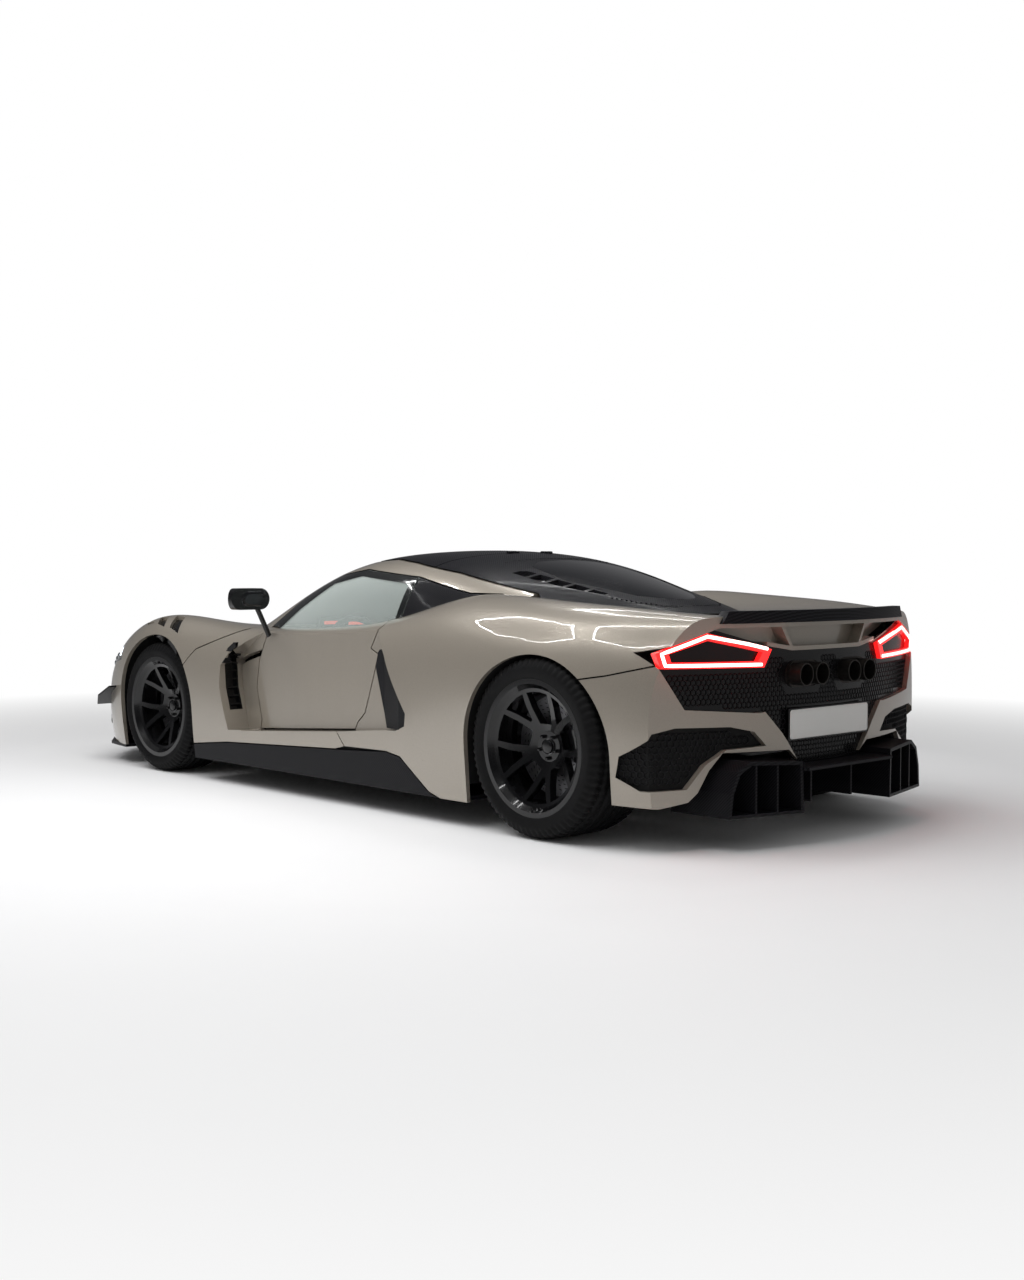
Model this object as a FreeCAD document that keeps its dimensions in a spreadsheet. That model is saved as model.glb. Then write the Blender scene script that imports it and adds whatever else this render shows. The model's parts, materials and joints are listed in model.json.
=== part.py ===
import FreeCAD, Part
import math
import os

import Sketcher

os.makedirs("parts", exist_ok=True)
doc = FreeCAD.newDocument("hypercar")
V = FreeCAD.Vector

# Sizes in millimetres and degrees. The frame is X forward, Y left, Z up,
# with the origin under the middle of the car, on the ground.
SIZES = (
    ("wheelbase", 2800),
    ("front_overhang", 1056),
    ("rear_overhang", 810),
    ("overall_width", 1971),
    ("overall_height", 1131),
    ("floor_clearance", 105),
    ("skin_wall", 22),
    ("door_wall", 70),
    ("door_return", 22),
    ("glass_wall", 6),
    ("backing_wall", 12),
    ("backing_width", 25),
    ("hinge_pin", 8),
    ("hinge_arm", 16),
    ("panel_gap", 6),
    ("fit_gap", 0.3),
    ("front_track_face", 930),
    ("rear_track_face", 972),
    ("front_tyre_radius", 334),
    ("front_tyre_width", 265),
    ("front_rim_radius", 241.3),
    ("rear_tyre_radius", 357.5),
    ("rear_tyre_width", 345),
    ("rear_rim_radius", 254),
    ("front_arch_gap", 38),
    ("rear_arch_gap", 18),
    ("spoke_count", 5),
    ("disc_thickness", 34),
    ("front_disc_radius", 198),
    ("rear_disc_radius", 198),
    ("hub_radius", 60),
    ("hub_bore", 30),
    ("hub_depth", 44),
    ("rim_inset", 100),
    ("kingpin_radius", 20),
    ("arm_clearance", 6),
    ("front_liner_gap", 70),
    ("steering_wheel_radius", 170),
    ("steering_rim_radius", 15),
    ("engine_length", 700),
    ("engine_width", 560),
    ("engine_height", 430),
    ("exhaust_radius", 44),
    ("seat_width", 470),
)

sheet = doc.addObject("Spreadsheet::Sheet", "Sizes")
for row, (name, number) in enumerate(SIZES, 1):
    sheet.set("A%d" % row, name)
    sheet.set("B%d" % row, str(number))
    sheet.setAlias("B%d" % row, name)
doc.recompute()


class Size:
    """A number that also remembers the formula it came from."""

    def __init__(self, number, formula=None):
        self.number = float(number)
        self.formula = formula if formula else repr(float(number))

    def joined(self, other, sign, flip=False):
        other = other if isinstance(other, Size) else Size(other)
        left, right = (other, self) if flip else (self, other)
        results = {"+": left.number + right.number,
                   "-": left.number - right.number,
                   "*": left.number * right.number}
        if sign == "/":
            number = left.number / right.number
        else:
            number = results[sign]
        formula = "(%s %s %s)" % (left.formula, sign, right.formula)
        return Size(number, formula)

    def __add__(self, other):
        return self.joined(other, "+")

    def __radd__(self, other):
        return self.joined(other, "+", True)

    def __sub__(self, other):
        return self.joined(other, "-")

    def __rsub__(self, other):
        return self.joined(other, "-", True)

    def __mul__(self, other):
        return self.joined(other, "*")

    def __rmul__(self, other):
        return self.joined(other, "*", True)

    def __truediv__(self, other):
        return self.joined(other, "/")

    def __rtruediv__(self, other):
        return self.joined(other, "/", True)

    def __neg__(self):
        return self.joined(-1, "*")

    def __float__(self):
        return self.number


def size(name):
    return Size(getattr(sheet, name), "Sizes." + name)


def number(item):
    return float(item)


# Frame lines
length = number(size("front_overhang") + size("wheelbase") + size("rear_overhang"))
rear_axle = number(size("rear_overhang")) - length / 2
front_axle = rear_axle + number(size("wheelbase"))
wide = number(size("overall_width")) / 1971
tall = number(size("overall_height")) / 1131
wall = number(size("skin_wall"))
door_wall = number(size("door_wall"))
glass = number(size("glass_wall"))
backing_wall = number(size("backing_wall"))
backing_width = number(size("backing_width"))
gap = number(size("panel_gap"))
fit = number(size("fit_gap"))


def along(station):
    """Frame X of a station counted forward from the rear axle of the drawn car."""
    if station <= 0:
        return rear_axle + station * number(size("rear_overhang")) / 810
    if station <= 2800:
        return rear_axle + station * number(size("wheelbase")) / 2800
    return front_axle + (station - 2800) * number(size("front_overhang")) / 1056


# Body lines: (station, half width, height)
BODY_STATIONS = (-700, -620, -480, -250, 0, 280, 560, 800, 1100,
                 1500, 2000, 2400, 2800, 3120, 3400, 3620, 3780, 3856)
BODY_LINES = (
    ((-700, 0, 868), (-480, 0, 862), (0, 0, 850), (560, 0, 830), (1100, 0, 780),
     (2000, 0, 770), (2400, 0, 752), (2800, 0, 700), (3120, 0, 640), (3400, 0, 560),
     (3620, 0, 470), (3780, 0, 370), (3856, 0, 300)),
    ((-700, 300, 868), (-480, 330, 862), (0, 360, 860), (560, 380, 850),
     (1100, 430, 790), (2000, 460, 770), (2400, 440, 750), (2800, 400, 700),
     (3120, 380, 640), (3400, 360, 560), (3620, 300, 470), (3780, 220, 370),
     (3856, 150, 300)),
    ((-700, 500, 868), (-480, 560, 880), (0, 600, 905), (560, 600, 940),
     (800, 620, 900), (1100, 640, 810), (2000, 680, 770), (2400, 640, 765),
     (2800, 610, 775), (3120, 600, 720), (3400, 560, 590), (3620, 460, 470),
     (3780, 340, 365), (3856, 240, 300)),
    ((-700, 640, 866), (-480, 690, 892), (-250, 730, 915), (0, 745, 930),
     (280, 740, 945), (560, 725, 965), (800, 735, 905), (1100, 760, 815),
     (1500, 770, 775), (2000, 790, 752), (2400, 760, 775), (2600, 760, 815),
     (2800, 765, 842), (2960, 765, 838), (3120, 755, 795), (3400, 690, 640),
     (3620, 560, 475), (3780, 420, 360), (3856, 300, 296)),
    ((-700, 690, 830), (-480, 800, 835), (-250, 860, 860), (0, 890, 870),
     (280, 895, 880), (560, 880, 875), (800, 872, 845), (1100, 862, 790),
     (1500, 850, 765), (2000, 850, 740), (2400, 870, 735), (2800, 905, 785),
     (2960, 903, 785), (3120, 885, 730), (3400, 800, 600), (3620, 650, 455),
     (3780, 480, 345), (3856, 345, 285)),
    ((-700, 745, 700), (-480, 880, 690), (-250, 955, 700), (0, 990, 700),
     (280, 990, 700), (560, 975, 700), (800, 950, 680), (1100, 935, 660),
     (1500, 930, 640), (2000, 935, 620), (2400, 945, 610), (2800, 965, 650),
     (3120, 940, 610), (3400, 860, 490), (3620, 700, 380), (3780, 510, 290),
     (3856, 365, 250)),
    ((-700, 790, 520), (-480, 905, 520), (-250, 975, 500), (0, 995, 480),
     (560, 985, 480), (1100, 965, 470), (2000, 958, 460), (2400, 960, 460),
     (2800, 962, 470), (3120, 945, 440), (3400, 875, 360), (3620, 715, 290),
     (3780, 515, 230), (3856, 368, 210)),
    ((-700, 800, 320), (-480, 900, 320), (-250, 960, 300), (0, 975, 300),
     (560, 975, 290), (1100, 965, 270), (2000, 955, 260), (2400, 950, 250),
     (2800, 948, 250), (3120, 930, 230), (3400, 865, 200), (3620, 705, 180),
     (3780, 505, 160), (3856, 360, 155)),
    ((-700, 780, 105), (-480, 880, 105), (-250, 940, 105), (0, 955, 105),
     (560, 960, 105), (1100, 950, 105), (2000, 940, 105), (2400, 935, 105),
     (2800, 930, 105), (3120, 910, 105), (3400, 845, 105), (3620, 690, 105),
     (3780, 490, 105), (3856, 350, 105)),
)
CABIN_STATIONS = (-230, -130, 100, 400, 700, 1000, 1300, 1600, 1900, 2150, 2340)
CABIN_LINES = (
    ((2340, 0, 745), (2150, 0, 850), (1900, 0, 995), (1600, 0, 1115), (1300, 0, 1143),
     (1000, 0, 1135), (700, 0, 1087), (400, 0, 1018), (100, 0, 945), (-130, 0, 885),
     (-230, 0, 850)),
    ((2340, 330, 745), (2150, 420, 845), (1900, 400, 985), (1600, 380, 1100),
     (1300, 370, 1130), (1000, 360, 1115), (700, 350, 1060), (400, 310, 985),
     (100, 240, 915), (-130, 180, 862), (-230, 150, 835)),
    ((2340, 560, 745), (2150, 640, 805), (1900, 650, 925), (1600, 640, 1050),
     (1300, 630, 1090), (1000, 620, 1070), (700, 600, 1005), (400, 500, 930),
     (100, 380, 878), (-130, 270, 840), (-230, 200, 810)),
    ((2340, 640, 730), (2150, 730, 745), (1900, 745, 835), (1600, 740, 925),
     (1300, 735, 965), (1000, 730, 955), (700, 700, 935), (400, 570, 890),
     (100, 430, 850), (-130, 300, 815), (-230, 230, 790)),
    ((2340, 680, 700), (2150, 800, 690), (1900, 830, 690), (1600, 840, 700),
     (1300, 840, 700), (1000, 830, 700), (700, 800, 720), (400, 650, 780),
     (100, 480, 780), (-130, 330, 780), (-230, 250, 770)),
    ((2340, 690, 600), (2150, 810, 600), (1600, 850, 600), (1000, 840, 600),
     (700, 810, 600), (400, 660, 600), (-230, 260, 600)),
)


def smooth(points, at):
    """Value at a place on the smooth, never overshooting line through points."""
    points = sorted(points)
    xs = [p[0] for p in points]
    ys = [p[1] for p in points]
    if at <= xs[0]:
        return ys[0]
    if at >= xs[-1]:
        return ys[-1]
    steps = [b - a for a, b in zip(xs, xs[1:])]
    rises = [(b - a) / s for a, b, s in zip(ys, ys[1:], steps)]
    slopes = [rises[0]]
    for k in range(1, len(rises)):
        if rises[k - 1] * rises[k] <= 0:
            slopes.append(0.0)
        else:
            w1 = 2 * steps[k] + steps[k - 1]
            w2 = steps[k] + 2 * steps[k - 1]
            slopes.append((w1 + w2) / (w1 / rises[k - 1] + w2 / rises[k]))
    slopes.append(rises[-1])
    k = max(i for i in range(len(steps)) if xs[i] <= at)
    t = (at - xs[k]) / steps[k]
    return (ys[k] * (1 + 2 * t) * (1 - t) ** 2 + slopes[k] * steps[k] * t * (1 - t) ** 2
            + ys[k + 1] * t * t * (3 - 2 * t) - slopes[k + 1] * steps[k] * t * t * (1 - t))


def net_rows(stations, lines):
    """Control points from the right-hand low edge over the top to the left."""
    rows = []
    for station in stations:
        half = []
        for line in lines:
            y = smooth([(p[0], p[1]) for p in line], station)
            z = smooth([(p[0], p[2]) for p in line], station)
            half.append(V(along(station), y * wide, z * tall))
        right = [V(p.x, -p.y, p.z) for p in reversed(half[1:])]
        rows.append(right + half)
    return rows


def knots(count):
    return [4] + [1] * (count - 4) + [4], [float(k) for k in range(count - 2)]


def surface(rows):
    net = Part.BSplineSurface()
    umults, uknots = knots(len(rows))
    vmults, vknots = knots(len(rows[0]))
    net.buildFromPolesMultsKnots(rows, umults, vmults, uknots, vknots,
                                 False, False, 3, 3)
    return net


def middle_knots(count):
    """The parameter that each control point of a clamped cubic belongs to."""
    line = [0.0] * 3 + [float(k) for k in range(count - 2)] + [float(count - 3)] * 3
    return [sum(line[k + 1:k + 4]) / 3 for k in range(count)]


def offset_rows(rows, depth, low, tail, nose):
    """Control points moved inward by depth; low, tail, nose set the open ends."""
    net = surface(rows)
    us = middle_knots(len(rows))
    vs = middle_knots(len(rows[0]))
    moved = []
    for i, row in enumerate(rows):
        line = []
        for j, pole in enumerate(row):
            normal = net.normal(us[i], vs[j])
            if normal.dot(V(0, pole.y, pole.z - 300)) < 0:
                normal = normal * -1
            line.append(pole - normal * depth)
        moved.append(line)
    for row in moved:
        row[0].z = low
        row[-1].z = low
    for pole in moved[0]:
        pole.x = tail
    for pole in moved[-1]:
        pole.x = nose
    return moved


def net_solid(rows):
    face = surface(rows).toShape()
    first, last = rows[0], rows[-1]
    columns = []
    for j in (0, -1):
        columns.append(Part.BSplineCurve())
        mults, marks = knots(len(rows))
        columns[-1].buildFromPolesMultsKnots([row[j] for row in rows], mults, marks,
                                             False, 3)
    ends = []
    for row in (first, last):
        ends.append(Part.BSplineCurve())
        mults, marks = knots(len(row))
        ends[-1].buildFromPolesMultsKnots(row, mults, marks, False, 3)
    tail_line = Part.LineSegment(first[0], first[-1]).toShape()
    nose_line = Part.LineSegment(last[0], last[-1]).toShape()
    right, left = columns[0].toShape(), columns[1].toShape()
    bottom = Part.Face(Part.Wire([right, nose_line, left, tail_line]))
    tail = Part.Face(Part.Wire([ends[0].toShape(), tail_line]))
    nose = Part.Face(Part.Wire([ends[1].toShape(), nose_line]))
    shell = Part.makeShell([face, bottom, tail, nose])
    shell.sewShape()
    solid = Part.makeSolid(Part.Shell(shell.Faces))
    if solid.Volume < 0:
        solid.reverse()
    return solid


def box(x1, x2, y1, y2, z1, z2):
    low = V(min(x1, x2), min(y1, y2), min(z1, z2))
    return Part.makeBox(abs(x2 - x1), abs(y2 - y1), abs(z2 - z1), low)


def round_bar(a, b, radius):
    a, b = V(*a), V(*b)
    return Part.makeCylinder(radius, (b - a).Length, a, b - a)


def side_prism(points, y1, y2, shrink=0.0):
    """Solid whose outline is drawn in side view as (station, height)."""
    corners = [V(along(s), y1, z * tall) for s, z in points]
    face = Part.Face(Part.makePolygon(corners + corners[:1]))
    if shrink:
        face = face.makeOffset2D(-shrink)
    return face.extrude(V(0, y2 - y1, 0))


def rear_prism(points, s1, s2, shrink=0.0):
    """Solid whose outline is drawn in rear view as (half width, height)."""
    corners = [V(along(s1), y * wide, z * tall) for y, z in points]
    face = Part.Face(Part.makePolygon(corners + corners[:1]))
    if shrink:
        face = face.makeOffset2D(-shrink)
    return face.extrude(V(along(s2) - along(s1), 0, 0))


def plan_prism(points, z1, z2, shrink=0.0):
    """Solid whose outline is drawn from above as (station, half width)."""
    corners = [V(along(s), y * wide, z1) for s, y in points]
    face = Part.Face(Part.makePolygon(corners + corners[:1]))
    if shrink:
        face = face.makeOffset2D(-shrink)
    return face.extrude(V(0, 0, z2 - z1))


def mirrored(shape):
    return shape.mirror(V(0, 0, 0), V(0, 1, 0))


def both(shape):
    """The shape and its mirror image, as separate solids."""
    return Part.makeCompound([shape, mirrored(shape)])


def joined(shapes):
    shapes = list(shapes)
    if len(shapes) == 1:
        return shapes[0]
    return shapes[0].fuse(shapes[1:]).removeSplitter()


def less(shape, *tools):
    tools = [t for t in tools if t is not None]
    return shape.cut(tools) if tools else shape


def kept(shape, count=1):
    """The biggest solids of a shape."""
    solids = sorted(shape.Solids, key=lambda s: -s.Volume)[:count]
    return solids[0] if len(solids) == 1 else Part.makeCompound(solids)


def over(shape, least):
    """The solids of a shape that are bigger than a least volume."""
    return Part.makeCompound([s for s in shape.Solids if s.Volume > least])


NODES = []


def node(name, shape, placement=None):
    part = doc.addObject("Part::Feature", name)
    part.Label = name
    part.Shape = shape
    part.Placement = placement or FreeCAD.Placement()
    NODES.append(part)
    return part


# Body volumes
body_rows = net_rows(BODY_STATIONS, BODY_LINES)
cabin_rows = net_rows(CABIN_STATIONS, CABIN_LINES)
floor = number(size("floor_clearance"))
for line in body_rows:
    line[0].z = floor
    line[-1].z = floor
tail_radius = 2054.0
tail_centre = along(0) + 1336.0 * number(size("rear_overhang")) / 810
tail_end = tail_centre - tail_radius


def tail_limit(depth):
    """Everything in front of the curved tail, moved forward by depth."""
    drum = Part.makeCylinder(tail_radius - depth, 2000, V(tail_centre, 0, 0))
    return joined([drum, box(along(200), along(3856) + 300, -1500, 1500, 0, 2000)])


def body_volume(depth):
    if depth == 0:
        return net_solid(body_rows).common(tail_limit(0))
    low = floor - 50 if depth > 0 else floor
    nose = body_rows[-1][0].x - depth
    tail = body_rows[0][0].x - 40
    rows = offset_rows(body_rows, depth, low, tail, nose)
    return net_solid(rows).common(tail_limit(depth))


def cabin_volume(depth):
    if depth == 0:
        return net_solid(cabin_rows)
    foot = cabin_rows[0][0].z
    rows = offset_rows(cabin_rows, depth, foot, cabin_rows[0][0].x + depth,
                       cabin_rows[-1][0].x - depth)
    return net_solid(rows)


hull = body_volume(0)
hull_inner = body_volume(wall)
hull_door = body_volume(door_wall)
hull_raised = body_volume(-gap)
hull_backing = body_volume(wall + backing_wall)
cabin = cabin_volume(0)
cabin_inner = cabin_volume(wall)
cabin_glass = cabin_volume(glass)
cabin_flange = cabin_volume(wall + 10)
cabin_backing = cabin_volume(wall + backing_wall)

# Wheel arches
front_arch_radius = number(size("front_tyre_radius") + size("front_arch_gap"))
rear_arch_radius = number(size("rear_tyre_radius") + size("rear_arch_gap"))
front_liner = number(size("front_tyre_radius") + size("front_liner_gap"))
front_hub_z = number(size("front_tyre_radius"))
rear_hub_z = number(size("rear_tyre_radius"))


def arch(x, z, radius, y1, y2):
    drum = Part.makeCylinder(radius, y2 - y1, V(x, y1, z), V(0, 1, 0))
    foot = box(x - radius, x + radius, y1, y2, -50, z)
    return joined([drum, foot])


front_arch = arch(front_axle, front_hub_z, front_arch_radius, 560 * wide, 1200)
rear_arch = arch(rear_axle, rear_hub_z - 12, rear_arch_radius, 560 * wide, 1200)
arches = [front_arch, rear_arch, mirrored(front_arch), mirrored(rear_arch)]

# Side channel in front of the rear wheel
CHANNEL = ((1880, 790), (2054, 691), (2150, 634), (2188, 577), (2179, 468),
           (2144, 361), (2110, 268), (1239, 328), (790, 370), (749, 441),
           (850, 565), (944, 681), (1060, 790))


def channel(depth):
    """Side channel; depth grows it inward for the skin behind it."""
    prism = side_prism(CHANNEL, 500, 1300, -depth if depth else 0)
    floor_plan = ((2250, 800), (2100, 832), (1700, 850), (1200, 855), (900, 868),
                  (700, 880), (700, 1300), (2250, 1300))
    plan = plan_prism([(s, y - depth) for s, y in floor_plan[:6]]
                      + [(700, 1300), (2250, 1300)], 0, 1500)
    return prism.common(plan)


channel_0 = channel(0)
hull_cut = less(hull, channel_0, mirrored(channel_0), *arches)
channel_wall = channel(wall)
channel_door = channel(door_wall)
skin = less(hull_cut, less(hull_inner, channel_wall, mirrored(channel_wall)),
            cabin_flange)
left_half = box(-4000, 4000, 0, 1500, -100, 2000)
skin_left = skin.common(left_half)
canopy = less(cabin, cabin_inner, hull)
canopy_left = canopy.common(left_half)
pane = less(cabin, cabin_glass, hull)

# Panel outlines in side view
DOOR = ((1936, 1000), (1936, 733), (2006, 609), (2032, 474), (1988, 319),
        (2000, 275), (1239, 330), (1216, 366), (1165, 409), (1104, 562), (1064, 675),
        (1118, 697), (1052, 798), (1052, 1000))
FRONT = ((2541, 80), (4200, 80), (4200, 1300), (2100, 1300), (2132, 753),
         (2427, 646), (2541, 533))
REAR = ((1052, 1300), (1052, 798), (1118, 697), (1064, 675), (1104, 562), (1165, 409),
        (1216, 366), (1239, 330), (1180, 265), (885, 270), (791, 255), (611, 124),
        (402, 60), (-206, 60), (-206, 631), (-350, 654), (-465, 681), (-545, 700),
        (-1200, 700), (-1200, 1300))
SKIRT = ((2430, 60), (2430, 176), (2128, 207), (1248, 249), (885, 270), (791, 255),
         (611, 124), (402, 60))
BUMPER = ((-206, 60), (-206, 631), (-350, 654), (-465, 681), (-545, 700),
          (-1200, 700), (-1200, 60))
SIDE = ((2541, 60), (2541, 533), (2427, 646), (2132, 753), (2115, 1300), (1936, 1300),
        (1936, 733), (2006, 609), (2032, 474), (1988, 319), (2000, 275), (1239, 330),
        (1180, 265), (1248, 249), (2128, 207), (2430, 176), (2430, 60))
y_in, y_out = 300, 1300
door_prism = side_prism(DOOR, y_in, y_out, gap / 2)
front_prism = side_prism(FRONT, -y_out, y_out, gap / 2)
rear_region = side_prism(REAR, -y_out, y_out, gap / 2)
skirt_prism = side_prism(SKIRT, y_in, y_out, gap / 2)
bumper_prism = side_prism(BUMPER, -y_out, y_out, gap / 2)
side_region = side_prism(SIDE, y_in, y_out, gap / 2)

# Backing strips behind the seams of the fixed panels
def seam(points, y1, y2):
    """Strip along an outline, reaching backing_width to each side of it."""
    grown = side_prism(points, y1, y2, -backing_width)
    return less(grown, side_prism(points, y1, y2, backing_width))


door_room = side_prism(DOOR, 0, y_out, -gap)
channel_back = channel(wall + backing_wall)
inner_face = less(hull_inner, channel_wall, mirrored(channel_wall))
backing = less(inner_face, less(hull_backing, channel_back, mirrored(channel_back)),
               cabin_flange, *arches)
seams = joined([seam(REAR, -y_out, y_out), seam(SIDE, -y_out, y_out)])
below = box(-3000, 3000, -1500, 1500, -100, floor)
strips = less(backing.common(seams), door_room, mirrored(door_room), below)

# Front clamshell with the nose opening and the lamp openings
LAMP_FRONT = ((3180, 560), (3200, 640), (3330, 640), (3480, 520), (3500, 470),
              (3420, 480), (3300, 540))
lamp_front = side_prism(LAMP_FRONT, 700, y_out)
NOSE_GRILLE = ((300, 140), (290, 235), (-290, 235), (-300, 140))
nose_hole = rear_prism(NOSE_GRILLE, 3780, 3900)
LOUVRES = (((2723, 893), (2628, 905), (2713, 799), (2800, 799)),
           ((2862, 879), (2777, 893), (2867, 797), (2950, 797)),
           ((2983, 866), (2916, 869), (3010, 797), (3090, 797)))
louvre_rooms = [plan_prism(louvre, 600, 1000) for louvre in LOUVRES]
louvre_rooms += [mirrored(room) for room in louvre_rooms]
front_clam = less(skin.common(front_prism), lamp_front, mirrored(lamp_front), nose_hole,
                  *louvre_rooms)
tray_layer = less(hull_inner, hull_backing)
louvre_trays = [kept(plan_prism(louvre, 600, 1000, -10).common(tray_layer))
                for louvre in LOUVRES]
node("front_clamshell", kept(front_clam))
front_lens = kept(skin_left.common(side_prism(LAMP_FRONT, 700, y_out, fit)))
node("headlamps", both(front_lens))
nose_plate = box(along(3826), along(3856) - wall, -320, 320, 120, 260)

# Rear clamshell with the tail opening
FIN = ((1040, 696), (944, 681), (850, 565), (749, 441), (755, 387), (814, 364),
       (975, 359), (1089, 649))
TAIL_OPENING = ((0, 515), (241, 520), (417, 505), (740, 530), (835, 680), (860, 742),
                (600, 830), (0, 830))
opening = list(TAIL_OPENING) + [(-y, z) for y, z in reversed(TAIL_OPENING[1:-1])]
tail_hole = rear_prism(opening, -900, -300)
fin_room = side_prism(FIN, 700, y_out, -fit)
node("rear_clamshell", kept(less(skin.common(rear_region), tail_hole, fin_room,
                                 mirrored(fin_room))))


def tail_slab(near, far):
    """Curved slab behind the tail face, between two depths."""
    low = Part.makeCylinder(tail_radius - near, 1400, V(tail_centre, 0, 0))
    high = Part.makeCylinder(tail_radius - far, 1400, V(tail_centre, 0, 0))
    return less(low, high).common(box(-3000, along(-250), -1100, 1100, 0, 1400))


PANEL = ((0, 300), (225, 300), (225, 335), (320, 430), (425, 490), (740, 515),
         (850, 672), (874, 748), (600, 842), (0, 842))
panel_line = list(PANEL) + [(-y, z) for y, z in reversed(PANEL[1:-1])]
tail_panel = rear_prism(panel_line, -900, -300).common(
    tail_slab(wall + fit, wall + 12))

LAMP_OUT = ((850, 740), (650, 812), (355, 745), (392, 678), (828, 684))
LAMP_IN = ((800, 738), (645, 785), (400, 735), (420, 702), (790, 706))
lamp = less(rear_prism(LAMP_OUT, -900, -300), rear_prism(LAMP_IN, -900, -300))
lamp = lamp.common(tail_slab(2, wall))
node("tail_lamps", both(kept(lamp)))

# Rear bumper: two corners joined under the tail, open in the middle and below
CENTRE = ((399, 520), (302, 425), (208, 315), (200, 40))
LOW = ((208, 40), (208, 315), (261, 356), (450, 360), (582, 363), (640, 300), (686, 219),
       (724, 186), (835, 167), (990, 180), (990, 40))
SIDE_GRILLE = ((864, 445), (777, 464), (551, 459), (439, 435), (381, 379), (565, 373),
               (655, 321), (729, 234), (881, 232), (915, 279), (915, 358))


def rear_pair(points, near=-900, far=-300, shrink=0.0):
    """Left and right rear-view prisms from one outline."""
    left = rear_prism(points, near, far, shrink)
    return [left, mirrored(left)]


centre_cut = rear_prism(list(CENTRE) + [(-y, z) for y, z in reversed(CENTRE)],
                        -900, -300)
bumper = less(skin.common(bumper_prism), tail_hole, centre_cut,
              *(rear_pair(LOW) + rear_pair(SIDE_GRILLE)))
node("rear_bumper", over(bumper, 100000))
grille_zone = rear_prism(SIDE_GRILLE, -900, -380, -10)
side_grille = grille_zone.common(less(hull_inner, hull_backing))
side_grille = both(kept(less(side_grille.common(left_half), *arches)))
node("grilles", Part.makeCompound([nose_plate] + side_grille.Solids))

# Diffuser: centre tray with strakes and a box with vanes on each side
tray = plan_prism(((-810, 280), (-810, -280), (-420, -280), (-420, 280)), 285, 297)
strakes = [plan_prism(((-714, y - 5), (-714, y + 5), (-400, y + 5), (-400, y - 5)),
                      145, 285.5) for y in (-135, 135)]
BOX_OUT = ((290, 125), (296, 322), (540, 335), (600, 300), (631, 222), (640, 128))
BOX_IN = ((303, 137), (308, 309), (535, 321), (588, 290), (618, 218), (627, 140))
box_rear = plan_prism(((-795, 280), (-710, 645), (-430, 645), (-430, 280)), 0, 500)
tube = less(rear_prism(BOX_OUT, -850, -430), rear_prism(BOX_IN, -850, -430))
vanes = [rear_prism(((y - 4, 130), (y + 4, 130), (y + 4, 330), (y - 4, 330)), -800, -430)
         .common(rear_prism(BOX_OUT, -850, -430)) for y in (415, 515)]
left_box = joined([tube] + vanes).common(box_rear)
bridge = rear_prism(((279, 285), (279, 297), (297, 297), (297, 285)), -800, -430)
left_box = joined([left_box, bridge])
node("diffuser", joined([tray, left_box, mirrored(left_box)] + strakes))

# Exhausts
pipe_r = number(size("exhaust_radius"))
tips = []
for y in (108, 212, -108, -212):
    tip = round_bar((along(-745), y, 645 * tall), (along(-600), y, 645 * tall), pipe_r)
    hole = round_bar((along(-746), y, 645 * tall), (along(-640), y, 645 * tall),
                     pipe_r - 4)
    tips.append(less(tip, hole))


def stadium(side, near, far, radius):
    """Block round one pair of tips, between two stations."""
    z = 645 * tall
    drums = [round_bar((along(near), side * y, z), (along(far), side * y, z), radius)
             for y in (108, 212)]
    return joined(drums + [box(along(near), along(far), side * 108, side * 212,
                               z - radius, z + radius)])


plates = [stadium(side, -690, -610, pipe_r + 8) for side in (1, -1)]
unit = joined(plates + tips)
node("exhausts", Part.makeCompound(unit.Solids))
housings = [less(stadium(side, -712, -640, pipe_r + 20), stadium(side, -720, -600, pipe_r + 8))
            for side in (1, -1)]
through = [stadium(side, -800, -560, pipe_r + 8) for side in (1, -1)]

# Recess under the tail lip, with two fins
RECESS = ((0, 736), (225, 736), (357, 757), (600, 822), (585, 860), (0, 860))
RECESS += tuple((-y, z) for y, z in reversed(RECESS[1:-1]))
BAND = ((0, 736), (225, 736), (357, 757), (357, 772), (219, 752), (0, 752))
BAND += tuple((-y, z) for y, z in reversed(BAND[1:-1]))
BACK_WALL = ((0, 736), (225, 736), (357, 757), (600, 822), (600, 870), (0, 870))
BACK_WALL += tuple((-y, z) for y, z in reversed(BACK_WALL[1:-1]))
STRUT = ((211, 738), (227, 738), (290, 838), (274, 838))
recess = [rear_prism(BAND, -900, -300).common(tail_slab(wall, 83)),
          rear_prism(BACK_WALL, -900, -300).common(tail_slab(75, 83))]
strut = rear_prism(STRUT, -900, -300).common(tail_slab(19, 83))
recess = less(joined(recess + [strut, mirrored(strut)]), skin)
node("tail_recess", kept(recess))
tail_panel = less(joined([kept(tail_panel)] + housings), skin,
                  rear_prism(RECESS, -900, -300), *through)
node("tail_panel", kept(tail_panel))
LIP = ((600, 846), (570, 893), (-570, 893), (-600, 846))
lip = rear_prism(LIP, -900, -300).common(tail_slab(-14, 24))
node("spoiler_lip", kept(less(lip, hull)))

# Side pieces
door_skin = less(hull_cut, less(hull_door, channel_door), cabin_flange)
door_inner = side_prism(DOOR, y_in, y_out, gap / 2 + number(size("door_return")))
door_outer = skin_left.common(door_prism)
door = kept(joined([door_outer, door_skin.common(door_inner)]))
DOOR_HINGE = V(along(2176), 896 * wide, 620 * tall)
DOOR_AXIS = V(-0.2, 0.3, -0.9).normalize()
BACK = V(-1, 0, 0) - DOOR_AXIS * V(-1, 0, 0).dot(DOOR_AXIS)
BACK = BACK.normalize()
INWARD = BACK.cross(DOOR_AXIS)
pin_r = number(size("hinge_pin"))
arm_half = number(size("hinge_arm")) / 2


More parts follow.
